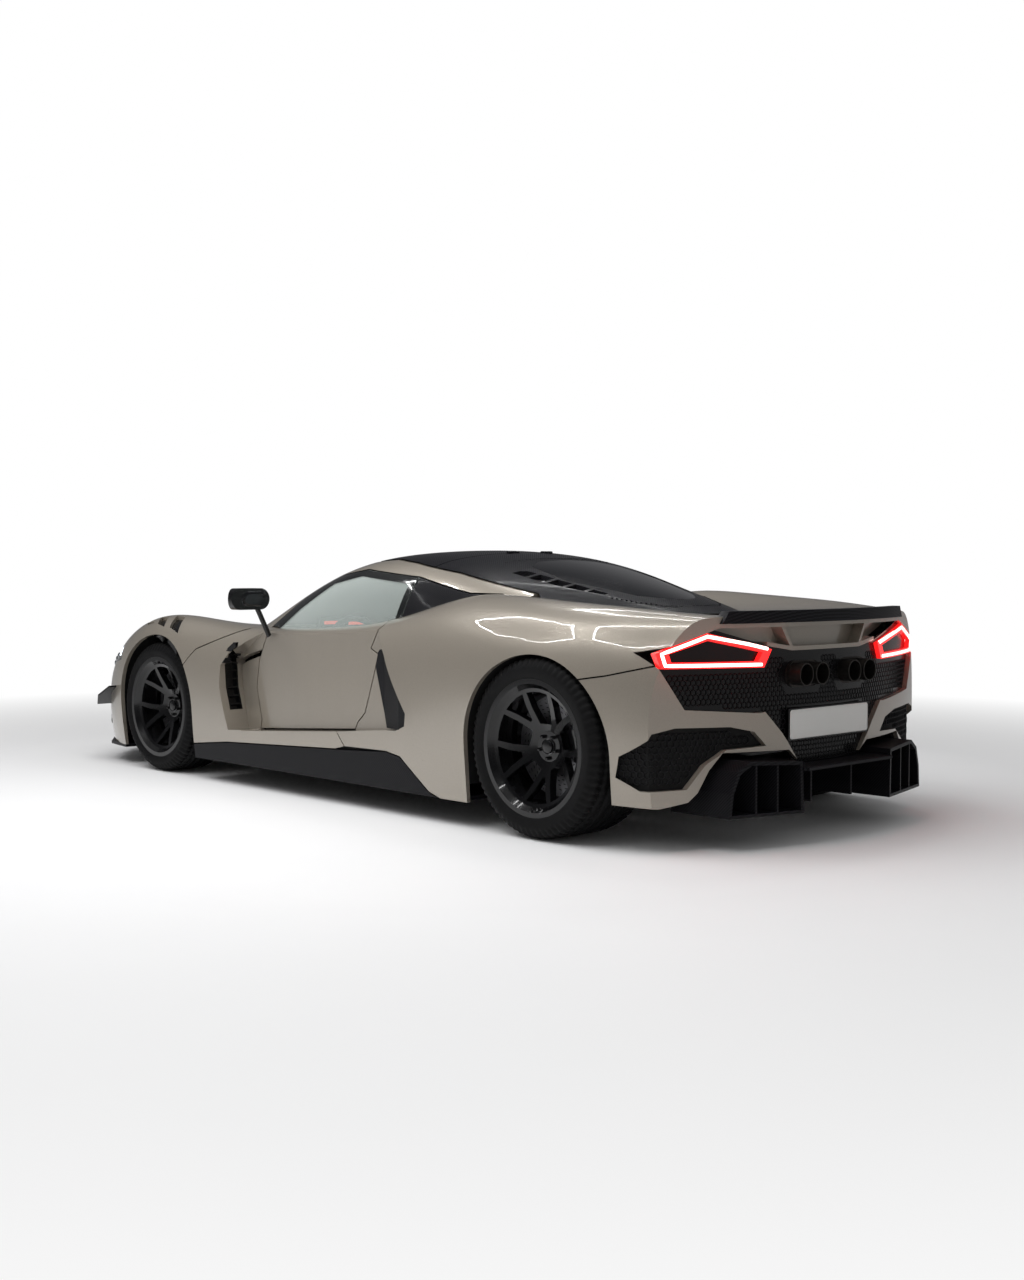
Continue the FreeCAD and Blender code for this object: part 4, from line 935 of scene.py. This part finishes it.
def on_window(surface, side, spot):
    """The place on the glass at a spot, drawn in to the glass where it has to be."""
    for k in range(DRAW_STEPS):
        station, z = between(spot, WINDOW_MIDDLE, k / DRAW_STEPS / 2)
        place = surface.side(side, station, z, BAND_LIFT)
        if place is not None:
            return place
    raise RuntimeError("the window band leaves the glass")


class HYPERCAR_OT_window_bands(bpy.types.Operator):
    """Black printed band round the edge of each side window"""

    bl_idname = "hypercar.window_bands"
    bl_label = "Window bands"

    def execute(self, context):
        outer = resampled([pair[0] for pair in WINDOW_BAND], BAND_STEPS)
        inner = resampled([pair[1] for pair in WINDOW_BAND], BAND_STEPS)
        for word, letter, side in SIDES:
            surface = Surface("door_glass_" + word)
            rings = [[on_window(surface, side, between(start, end, k / BAND_STRIPS))
                      for k in range(BAND_STRIPS + 1)] for start, end in zip(outer, inner)]
            if side > 0:
                rings.reverse()
            mesh = loft("window_band_" + word, rings, closed=False)
            piece = new_piece("window_band_" + word, mesh, "black_trim", "frit_black")
            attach(piece, "door_" + letter)
        return {"FINISHED"}


DASH_ROWS = (((190, 300), (94, 252), (20, 200), (-40, 125), (-62, 0)),
             ((815, 330), (822, 265), (806, 94), (800, 0)))
DASH_STEPS = 10
DASH_BLOCK = (0.009, 0.016, 0.0016)


class HYPERCAR_OT_cover_dashes(bpy.types.Operator):
    """Rows of vent dashes round the engine cover's glass"""

    bl_idname = "hypercar.cover_dashes"
    bl_label = "Cover dashes"

    def execute(self, context):
        surface = Surface("engine_cover", "rear_glass")
        meshes = []
        for row in DASH_ROWS:
            route = list(row) + [(station, -y) for station, y in reversed(row[:-1])]
            places = met(surface.top(station, y)
                         for station, y in resampled(route, DASH_STEPS))
            mesh = bpy.data.meshes.new("dash_route")
            mesh.from_pydata(places, [(k, k + 1) for k in range(len(places) - 1)], [])
            base = new_piece("dash_route", mesh, "black_trim")
            tree = node_tree("dash_row", (("Spacing", "NodeSocketFloat", 0.021),
                                          ("Block", "NodeSocketVector", None)), dashes)
            meshes.append(grown(base, tree, {
                "Spacing": context.scene.hypercar_trim.dash_spacing,
                "Block": DASH_BLOCK, "Finish": finish_of("black_trim")}))
        piece = new_piece("cover_dashes", joined_mesh("cover_dashes", meshes), "black_trim",
                          "satin_black")
        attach(piece, "lid")
        return {"FINISHED"}


PLATE_HALF = (0.26, 0.0565)
PLATE_X = REAR_AXLE - 0.7
PLATE_CORNER = 0.012
CORNER_STEPS = 6
# Each ring's inset from the outline and its distance out
PLATE_RINGS = ((0.0, -0.001), (0.0, 0.004), (0.004, 0.0055), (0.008, 0.0035))
PLATE_QUARTERS = ((1, 1), (-1, 1), (-1, -1), (1, -1))
BORDER_WIDTH = 0.007
BORDER_DEPTH = 0.003
BORDER_EDGE = 0.0025


def plate_outline(inset):
    """(y, z) points of the plate's rounded outline, moved in by an inset."""
    points = []
    for quarter, (way_y, way_z) in enumerate(PLATE_QUARTERS):
        for k in range(CORNER_STEPS + 1):
            angle = math.radians(90 * (quarter + k / CORNER_STEPS))
            reach = PLATE_CORNER - inset
            points.append((way_y * (PLATE_HALF[0] - PLATE_CORNER) + reach * math.cos(angle),
                           way_z * (PLATE_HALF[1] - PLATE_CORNER) + reach * math.sin(angle)))
    return points


class HYPERCAR_OT_plate(bpy.types.Operator):
    """Blank number plate with a pressed rim, in a thin border"""

    bl_idname = "hypercar.plate"
    bl_label = "Number plate"

    def execute(self, context):
        work = bmesh.new()
        rings = [[work.verts.new((PLATE_X - out, y, PLATE_HEIGHT + z))
                  for y, z in plate_outline(inset)] for inset, out in PLATE_RINGS]
        for low, high in zip(rings, rings[1:]):
            for k in range(len(low)):
                j = (k + 1) % len(low)
                work.faces.new((low[k], low[j], high[j], high[k]))
        work.faces.new(rings[-1])
        work.faces.new(list(reversed(rings[0])))
        bmesh.ops.recalc_face_normals(work, faces=work.faces)
        mesh = poured("plate", work)
        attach(new_piece("plate", mesh, "black_trim", "plate_white"), "car")
        half, tall = PLATE_HALF[0] + BORDER_WIDTH, PLATE_HALF[1] + BORDER_WIDTH
        border = block("plate_frame", (PLATE_X - BORDER_DEPTH, -half, PLATE_HEIGHT - tall),
                       (PLATE_X + BORDER_DEPTH, half, PLATE_HEIGHT + tall), BORDER_EDGE)
        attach(new_piece("plate_frame", border, "black_trim"), "car")
        return {"FINISHED"}


MIRROR_MIDDLE = (0.9855, 0.905)
MIRROR_FLAT = 0.03
MIRROR_ROUND = 0.036
# Each ring's scale and its lift off the housing
MIRROR_RINGS = ((1.0, 0.0004), (0.97, 0.0016), (0.5, 0.0018), (0.02, 0.0018))
MIRROR_STEPS = 48
MIRROR_BEHIND = 0.5


class HYPERCAR_OT_mirror_glass(bpy.types.Operator):
    """Silvered glass in the rear face of each mirror"""

    bl_idname = "hypercar.mirror_glass"
    bl_label = "Mirror glass"

    def execute(self, context):
        for word, letter, side in SIDES:
            low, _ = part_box("mirror_" + word)
            surface = Surface("mirror_" + word)
            rings = []
            for scale, lift in MIRROR_RINGS:
                ring = []
                for k in range(MIRROR_STEPS):
                    angle = FULL_TURN * k / MIRROR_STEPS
                    y = scale * (MIRROR_FLAT * math.tanh(4 * math.cos(angle))
                                 + MIRROR_ROUND * math.cos(angle))
                    z = scale * MIRROR_ROUND * math.sin(angle)
                    start = Vector((low[0] - MIRROR_BEHIND, side * MIRROR_MIDDLE[0] + y,
                                    MIRROR_MIDDLE[1] + z))
                    ring.append(surface.cast(start, Vector((1, 0, 0)), lift))
                if None in ring:
                    raise RuntimeError("the mirror glass leaves its housing")
                rings.append(ring)
            mesh = recalculated(loft("mirror_glass_" + word, rings))
            piece = new_piece("mirror_glass_" + word, mesh, "black_trim", "mirror_dark")
            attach(piece, "door_" + letter)
        return {"FINISHED"}


HEADLAMP_LINE = ((3215, 580), (3235, 618), (3325, 620), (3400, 565), (3462, 515))
DAY_LINE_STEPS = 6
DAY_LINE_LIFT = 0.001
DAY_LINE_RADIUS = 0.0035
PROJECTORS = ((3270, 575), (3330, 555), (3385, 530))
PROJECTOR_SINK = 0.004
PROJECTOR_STEPS = 24
PROJECTOR = [(0.0, 0.008), (0.01, 0.007), (0.016, 0.004), (0.019, 0.0), (0.019, -0.004),
             (0.0, -0.004)]


class HYPERCAR_OT_headlamp_lines(bpy.types.Operator):
    """Daytime running line and three projector lenses on each headlamp"""

    bl_idname = "hypercar.headlamp_lines"
    bl_label = "Headlamp lines"

    def execute(self, context):
        surface = Surface("headlamps")
        for word, _, side in SIDES:
            places = met(surface.side(side, station, z, DAY_LINE_LIFT)
                         for station, z in resampled(HEADLAMP_LINE, DAY_LINE_STEPS))
            mesh = tube_along("day_line_" + word, places, DAY_LINE_RADIUS)
            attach(new_piece("day_line_" + word, mesh, "lamp_lens", "day_glow"), "car")
            middles = met(surface.side(side, station, z, -PROJECTOR_SINK)
                          for station, z in PROJECTORS)
            lenses = [turned("lens", PROJECTOR, middle, side, PROJECTOR_STEPS)
                      for middle in middles]
            piece = new_piece("projectors_" + word, joined_mesh("lenses", lenses),
                              "lamp_lens", "mirror_silver")
            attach(piece, "car")
        return {"FINISHED"}


# Tyres
TREAD_GROOVES = (-0.74, -0.42, -0.12, 0.18, 0.5, 0.78)
TREAD_EDGE = 0.02
TREAD_CROWN = 0.004
TREAD_GAP = 0.0002
GROOVE_HALF = 0.005
GROOVE_LIP = 0.0062
TYRE_GAP = 0.0005
BEAD_GAP = 0.0006
SHOULDER_SHARE = 0.55
SHOULDER_DEPTH = 0.015
EDGE_DEPTH = 0.036
EDGE_WIDTH = 0.012
EDGE_CUT = 0.006


def tyre_profile(half, radius, bead, depth):
    """(across, out) points of a tyre's section, from the inner bead over the tread."""
    middle = (bead + radius) / 2
    wall = [(-half + 0.017, bead), (-half + 0.012, bead + 0.012),
            (-half + 0.004, bead + 0.022), (-half + 0.001, middle - 0.008),
            (-half, middle), (-half, radius * 0.88), (-half + 0.004, radius - 0.032),
            (-half + 0.011, radius - 0.02), (-half + 0.022, radius - 0.009)]
    tread = []
    for groove in TREAD_GROOVES:
        y = groove * (half - TREAD_EDGE)
        crown = radius - TREAD_CROWN * (y / half) ** 2 - TREAD_GAP
        tread += [(y - GROOVE_LIP, crown), (y - GROOVE_HALF, crown - depth),
                  (y + GROOVE_HALF, crown - depth), (y + GROOVE_LIP, crown)]
    return wall + tread + [(-y, r) for y, r in reversed(wall)]


def cut_profile(profile, half, radius, depth):
    """The section between two tread blocks, cut at its shoulders and edges."""
    section = []
    for across, out in profile:
        if abs(across) > half * SHOULDER_SHARE and out > radius - SHOULDER_DEPTH:
            out -= depth
        if out > radius - EDGE_DEPTH and abs(across) > half - EDGE_WIDTH:
            across -= math.copysign(EDGE_CUT, across)
        section.append((across, out))
    return section


class HYPERCAR_OT_tyres(bpy.types.Operator):
    """Tyres with grooves, tread blocks and ribbed walls"""

    bl_idname = "hypercar.tyres"
    bl_label = "Tyres"

    def execute(self, context):
        settings = context.scene.hypercar_tyre
        for corner, side in CORNERS:
            node = "tyre_" + corner
            low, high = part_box(node)
            centre = (low + high) / 2
            half = (high.y - low.y) / 2
            radius = (high.z - low.z) / 2
            bead = RIM_RADIUS[corner[0]] + BEAD_GAP
            block_section = tyre_profile(half, radius - TYRE_GAP, bead,
                                         settings.groove_depth)
            gap_section = cut_profile(block_section, half, radius, settings.groove_depth)
            steps = settings.blocks * 4
            rings = []
            for k in range(steps):
                angle = FULL_TURN * k / steps
                section = gap_section if k % 4 < 2 else block_section
                rings.append([(centre.x + out * math.cos(angle),
                               centre.y + across * side,
                               centre.z + out * math.sin(angle))
                              for across, out in section])
            mesh = loft(node, rings + rings[:1], closed=False)
            piece = new_piece("tread_" + corner, recalculated(mesh), "tyre_rubber")
            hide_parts(node)
            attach(piece, "roadwheel_" + corner)
        return {"FINISHED"}


# Wheels
HUB_DEPTH = 0.1
NUTS = 5
FIRST_NUT = 126
CAP_STEPS = 32
NUT_SIDES = 6
VALVE_STEPS = 10
CAP = [(0.0, 0.0115), (0.018, 0.011), (0.0265, 0.009), (0.0285, 0.006), (0.0285, 0.0),
       (0.026, -0.004), (0.0, -0.004)]
NUT = [(0.0, 0.011), (0.0055, 0.011), (0.0075, 0.009), (0.0078, -0.006), (0.0, -0.006)]
VALVE = [(0.0, 0.02), (0.0035, 0.02), (0.004, 0.018), (0.004, 0.0), (0.0, 0.0)]
VALVE_OUT = 0.03
VALVE_INSET = 0.034


class HYPERCAR_OT_wheel_trim(bpy.types.Operator):
    """Centre cap, wheel nuts and valve on each wheel"""

    bl_idname = "hypercar.wheel_trim"
    bl_label = "Wheel trim"

    def execute(self, context):
        circle = context.scene.hypercar_trim.nut_circle
        for corner, side in CORNERS:
            low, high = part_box("tyre_" + corner)
            middle = (Vector(low) + Vector(high)) / 2
            face = (high[1] - low[1]) / 2 - HUB_DEPTH
            centre = middle + Vector((0, side * face, 0))
            meshes = [turned("cap", CAP, centre, side, CAP_STEPS)]
            for k in range(NUTS):
                angle = math.radians(FIRST_NUT + 360 / NUTS * k)
                place = centre + Vector((circle * math.cos(angle), 0,
                                         circle * math.sin(angle)))
                meshes.append(turned("nut", NUT, place, side, NUT_SIDES))
            place = middle + Vector((0, side * (face + VALVE_OUT),
                                     RIM_RADIUS[corner[0]] - VALVE_INSET))
            meshes.append(turned("valve", VALVE, place, side, VALVE_STEPS))
            piece = new_piece("wheel_trim_" + corner, joined_mesh("trim", meshes),
                              "wheel_black")
            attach(piece, "roadwheel_" + corner)
        return {"FINISHED"}


# Cabin
SEAT_MIDDLE = 0.4
# Each pad's name, place (station, height), way, length, width and sewn channels
SEAT_PADS = (
    ("cushion", (1485, 368), (1, 0, -0.1), 0.4, 0.33, (-0.4, 0.05, 0.5)),
    ("back", (1240, 545), (-0.16, 0, 1), 0.36, 0.31, (-0.55, -0.1, 0.35)),
    ("headrest", (1186, 775), (-0.2, 0, 1), 0.11, 0.25, ()),
)
PAD_STEPS = 36
PAD_LIFT = 0.012
PAD_SQUARENESS = 3.2
PAD_SWELL = 0.42
PAD_PULL = 0.045
PAD_UNDERSIDE = 0.35
CHANNEL_WIDTH = 0.035
CHANNEL_DEPTH = 0.34
BOLSTER_MIDDLE = 0.195
BOLSTER_WIDTH = 0.075
BOLSTER_RISE = 1.9


def pad_point(i, j, layer, height, channels):
    """A pad's point: along and across it in half sizes, and its rise in metres."""
    u = math.sin((2 * i / PAD_STEPS - 1) * math.pi / 2)
    v = math.sin((2 * j / PAD_STEPS - 1) * math.pi / 2)
    swell = ((1 - abs(u) ** PAD_SQUARENESS) ** PAD_SWELL
             * (1 - abs(v) ** PAD_SQUARENESS) ** PAD_SWELL)
    if layer < 0:
        rise = -PAD_UNDERSIDE * height * swell
    else:
        groove = sum(math.exp(-((u - c) / CHANNEL_WIDTH) ** 2) for c in channels)
        rise = height * swell * (1 - CHANNEL_DEPTH * min(1.0, groove))
    return u * (1 - PAD_PULL * (1 - v * v)), v * (1 - PAD_PULL * (1 - u * u)), rise


def pad_mesh(name, origin, along, length, width, height, channels):
    """Crowned pad with pulled-in sides, a seam round it and sewn channels."""
    across = Vector((0, 1, 0))
    crown = Vector((abs(along.z), 0, abs(along.x)))
    row = PAD_STEPS + 1
    points, faces = [], []
    for layer in (1, -1):
        first = len(points)
        for i in range(row):
            for j in range(row):
                u, v, rise = pad_point(i, j, layer, height, channels)
                points.append(origin + along * (u * length / 2)
                              + across * (v * width / 2) + crown * rise)
        for i in range(PAD_STEPS):
            for j in range(PAD_STEPS):
                a = first + i * row + j
                faces.append((a, a + row, a + row + 1, a + 1))
    return recalculated(mesh_of(name, points, faces, smooth=True))


class HYPERCAR_OT_seat_pads(bpy.types.Operator):
    """Leather pads on the two seat shells, with sewn channels and bolsters"""

    bl_idname = "hypercar.seat_pads"
    bl_label = "Seat pads"

    def execute(self, context):
        height = context.scene.hypercar_trim.pad_height
        for word, _, side in SIDES:
            for name, (station, z), way, length, width, channels in SEAT_PADS:
                along = Vector(way).normalized()
                lift = Vector((abs(along.z), 0, abs(along.x))) * PAD_LIFT
                origin = Vector((REAR_AXLE + station / 1000, side * SEAT_MIDDLE, z / 1000))
                pads = [(name, 0.0, width, channels, height)]
                if name != "headrest":
                    pads += [(name + "_bolster_in", -BOLSTER_MIDDLE, BOLSTER_WIDTH, (),
                              height * BOLSTER_RISE),
                             (name + "_bolster_out", BOLSTER_MIDDLE, BOLSTER_WIDTH, (),
                              height * BOLSTER_RISE)]
                for label, shift, wide, cuts, rise in pads:
                    label = "seat_%s_%s" % (word, label)
                    mesh = pad_mesh(label, origin + Vector((0, shift, 0)) + lift, along,
                                    length, wide, rise, cuts)
                    piece = new_piece(label, mesh, "leather", "tan_leather")
                    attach(piece, "car")
        return {"FINISHED"}


SCREEN_X = REAR_AXLE + 1.93
# Each screen's name, middle across and up, half width and half height
SCREENS = (("driver_display", 0.4, 0.755, 0.15, 0.055),
           ("middle_screen", 0.0, 0.72, 0.12, 0.08))
SCREEN_BACK = 0.006
SCREEN_FRONT = 0.02
SCREEN_EDGE = 0.004
# Each lit field's low and high corner, in half sizes of its screen
FIELDS = ((-0.85, 0.2, -0.2, 0.7), (0.0, 0.3, 0.8, 0.6), (-0.6, -0.6, 0.3, -0.35))
FIELD_FRONT = 0.0215
FIELD_BACK = 0.019
FIELD_EDGE = 0.0008


class HYPERCAR_OT_dashboard_screens(bpy.types.Operator):
    """Driver's display and middle screen, with plain lit fields"""

    bl_idname = "hypercar.dashboard_screens"
    bl_label = "Dashboard screens"

    def execute(self, context):
        for name, y, z, wide, tall in SCREENS:
            case = block(name, (SCREEN_X - SCREEN_FRONT, y - wide, z - tall),
                         (SCREEN_X + SCREEN_BACK, y + wide, z + tall), SCREEN_EDGE)
            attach(new_piece(name, case, "black_trim", "screen_dark"), "car")
            fields = [block(name, (SCREEN_X - FIELD_FRONT, y + wide * a, z + tall * b),
                            (SCREEN_X - FIELD_BACK, y + wide * c, z + tall * d), FIELD_EDGE)
                      for a, b, c, d in FIELDS]
            piece = new_piece(name + "_fields", joined_mesh("fields", fields), "red_lens",
                              "screen_glow")
            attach(piece, "car")
        return {"FINISHED"}


# Stage
BACKGROUND = (1.0, 1.0, 1.0, 1.0)
FLOOR_HALF = 60
FADE_START = 3.0
FADE_LENGTH = 3.2
FILL_LIGHT = 0.45
HALL = ((0.0, (0.25, 0.25, 0.25, 1)), (0.5, (0.26, 0.26, 0.26, 1)),
        (0.57, (0.13, 0.13, 0.135, 1)), (0.75, (0.06, 0.06, 0.065, 1)),
        (1.0, (0.4, 0.4, 0.4, 1)))
SOFT_AIM = Vector((0, 0, 0.4))
# Each light's name, place, width and share of the key light's power
SOFT_LIGHTS = (("key", (0.5, 2.5, 5.0), 6.0, 1.0), ("tail", (-6.5, 2.0, 3.2), 3.5, 0.03))
TUBE_LENGTH = 1.02
TUBE_WIDTH = 0.03
TUBE_HEIGHT = 2.9
HEXAGONS = ((-1.6, 1.9), (0.6, 1.9), (-0.5, -1.0))
CAMERA_PLACE = (REAR_AXLE - 4.36, 5.2177, 1.0705)
CAMERA_YAW = math.radians(-43.6)
CAMERA_PITCH = -0.0482
SENSOR_WIDTH = 36.0


def studio_floor(settings):
    """Pale floor that fades into the background far from the car."""
    corners = [(way_x * FLOOR_HALF, way_y * FLOOR_HALF, 0)
               for way_x, way_y in ((-1, -1), (1, -1), (1, 1), (-1, 1))]
    mesh = mesh_of("floor", corners, [(0, 1, 2, 3)])
    floor = bpy.data.objects.new("floor", mesh)
    bpy.context.scene.collection.objects.link(floor)
    color = settings.floor_color
    finish = Finish("studio_floor", color, roughness=0.55)
    grain = finish.noise(scale=3.0, detail=2.0)
    finish.feed(base_color=finish.blend(grain, shade(color, 0.99), shade(color, 1.01)))
    place = finish.split(finish.place())
    reach = (place.out("X") * place.out("X") + place.out("Y") * place.out("Y")).math("SQRT")
    share = (reach - FADE_START) / FADE_LENGTH
    fade = share.math("MAXIMUM", 0.0).math("MINIMUM", 1.0)
    seen = finish.add("ShaderNodeLightPath").out("Is Camera Ray")
    far = finish.add("ShaderNodeEmission", {}, {"Color": BACKGROUND, "Strength": 1.0})
    mixed = finish.add("ShaderNodeMixShader", {}, {0: fade * seen, 1: finish.shader, 2: far})
    finish.finish_with("ShaderNodeOutputMaterial", mixed)
    mesh.materials.append(finish.material)


def studio_world():
    """Even soft light, a pale background and a darker hall in reflections."""
    world = bpy.data.worlds.new("studio")
    world.use_nodes = True
    bpy.context.scene.world = world
    graph = Graph(world.node_tree)
    way = graph.add("ShaderNodeTexCoord").out("Generated")
    height = graph.add("ShaderNodeSeparateXYZ", {}, {0: way}).out("Z")
    hall = graph.add("ShaderNodeValToRGB", {"stops": HALL}, {0: height * 0.5 + 0.5})
    path = graph.add("ShaderNodeLightPath")
    lit = graph.add("ShaderNodeBackground", {}, {
        "Color": BACKGROUND, "Strength": FILL_LIGHT})
    mirrored = graph.add("ShaderNodeBackground", {}, {"Color": hall})
    seen = graph.add("ShaderNodeBackground", {}, {"Color": BACKGROUND})
    first = graph.add("ShaderNodeMixShader", {}, {
        0: path.out("Is Glossy Ray"), 1: lit, 2: mirrored})
    through = path.out("Is Camera Ray").math("MAXIMUM", path.out("Is Transmission Ray"))
    last = graph.add("ShaderNodeMixShader", {}, {0: through, 1: first, 2: seen})
    graph.finish_with("ShaderNodeOutputWorld", last)


def area_light(name, shape, size, power, place):
    """An area light at a place, facing down."""
    lamp = bpy.data.lights.new(name, "AREA")
    lamp.shape = shape
    lamp.size = size
    lamp.energy = power
    light = bpy.data.objects.new(name, lamp)
    light.location = place
    bpy.context.scene.collection.objects.link(light)
    return light


def soft_light(name, place, size, power):
    """Big round light aimed at the car, which leaves no mirror image."""
    light = area_light(name, "DISK", size, power, place)
    light.rotation_mode = "QUATERNION"
    light.rotation_quaternion = (SOFT_AIM - Vector(place)).to_track_quat("-Z", "Y")
    light.visible_glossy = False


def light_tube(middle, angle, power):
    """One side of a hexagon of thin light tubes under the hall's roof."""
    reach = TUBE_LENGTH * math.sqrt(3) / 2
    place = (middle[0] + reach * math.cos(angle), middle[1] + reach * math.sin(angle),
             TUBE_HEIGHT)
    light = area_light("tube", "RECTANGLE", TUBE_LENGTH, power, place)
    light.data.size_y = TUBE_WIDTH
    light.rotation_euler = (0, 0, angle + math.pi / 2)


class HYPERCAR_OT_stage(bpy.types.Operator):
    """Floor, soft light and the camera"""

    bl_idname = "hypercar.stage"
    bl_label = "Stage"

    def execute(self, context):
        settings = context.scene.hypercar_stage
        studio_floor(settings)
        studio_world()
        for name, place, size, share in SOFT_LIGHTS:
            soft_light(name, place, size, settings.key_power * share)
        for middle in HEXAGONS:
            for k in range(6):
                light_tube(middle, FULL_TURN * k / 6, settings.tube_power)
        lens = bpy.data.cameras.new("camera")
        lens.lens = settings.lens
        lens.sensor_width = SENSOR_WIDTH
        camera = bpy.data.objects.new("camera", lens)
        camera.location = CAMERA_PLACE
        ahead = Vector((math.cos(CAMERA_YAW) * math.cos(CAMERA_PITCH),
                        math.sin(CAMERA_YAW) * math.cos(CAMERA_PITCH),
                        math.sin(CAMERA_PITCH)))
        camera.rotation_mode = "QUATERNION"
        camera.rotation_quaternion = ahead.to_track_quat("-Z", "Y")
        context.scene.collection.objects.link(camera)
        context.scene.camera = camera
        context.scene.view_settings.view_transform = "Standard"
        return {"FINISHED"}


GROUPS = {"hypercar_stage": StageSettings, "hypercar_paint": PaintSettings,
          "hypercar_tyre": TyreSettings, "hypercar_mesh": MeshSettings,
          "hypercar_trim": TrimSettings}
OPERATORS = (HYPERCAR_OT_finishes, HYPERCAR_OT_stage, HYPERCAR_OT_tail_mesh,
             HYPERCAR_OT_tail_light_lines, HYPERCAR_OT_plate, HYPERCAR_OT_intake_mesh,
             HYPERCAR_OT_tyres, HYPERCAR_OT_window_bands, HYPERCAR_OT_cover_dashes,
             HYPERCAR_OT_wheel_trim, HYPERCAR_OT_seat_pads,
             HYPERCAR_OT_dashboard_screens, HYPERCAR_OT_mirror_glass,
             HYPERCAR_OT_headlamp_lines, HYPERCAR_OT_corner_intakes, HYPERCAR_OT_seams)


class HYPERCAR_PT_panel(bpy.types.Panel):
    """Buttons and sizes of the hypercar's dressing"""

    bl_idname = "HYPERCAR_PT_panel"
    bl_label = "Hypercar"
    bl_space_type = "VIEW_3D"
    bl_region_type = "UI"
    bl_category = "Hypercar"

    def draw(self, context):
        for group in GROUPS:
            settings = getattr(context.scene, group)
            for name in settings.__annotations__:
                self.layout.prop(settings, name)
        for operator in OPERATORS:
            self.layout.operator(operator.bl_idname)


CLASSES = tuple(GROUPS.values()) + OPERATORS + (HYPERCAR_PT_panel,)


def register():
    for item in CLASSES:
        bpy.utils.register_class(item)
    for name, group in GROUPS.items():
        setattr(bpy.types.Scene, name, PointerProperty(type=group))


def unregister():
    for name in GROUPS:
        delattr(bpy.types.Scene, name)
    for item in reversed(CLASSES):
        bpy.utils.unregister_class(item)


def main():
    register()
    bpy.ops.hypercar.finishes()
    bpy.ops.hypercar.stage()
    bpy.ops.hypercar.tail_mesh()
    bpy.ops.hypercar.tail_light_lines()
    bpy.ops.hypercar.plate()
    bpy.ops.hypercar.intake_mesh()
    bpy.ops.hypercar.tyres()
    bpy.ops.hypercar.window_bands()
    bpy.ops.hypercar.cover_dashes()
    bpy.ops.hypercar.wheel_trim()
    bpy.ops.hypercar.seat_pads()
    bpy.ops.hypercar.dashboard_screens()
    bpy.ops.hypercar.mirror_glass()
    bpy.ops.hypercar.headlamp_lines()
    bpy.ops.hypercar.corner_intakes()
    bpy.ops.hypercar.seams()


if __name__ == "__main__":
    main()
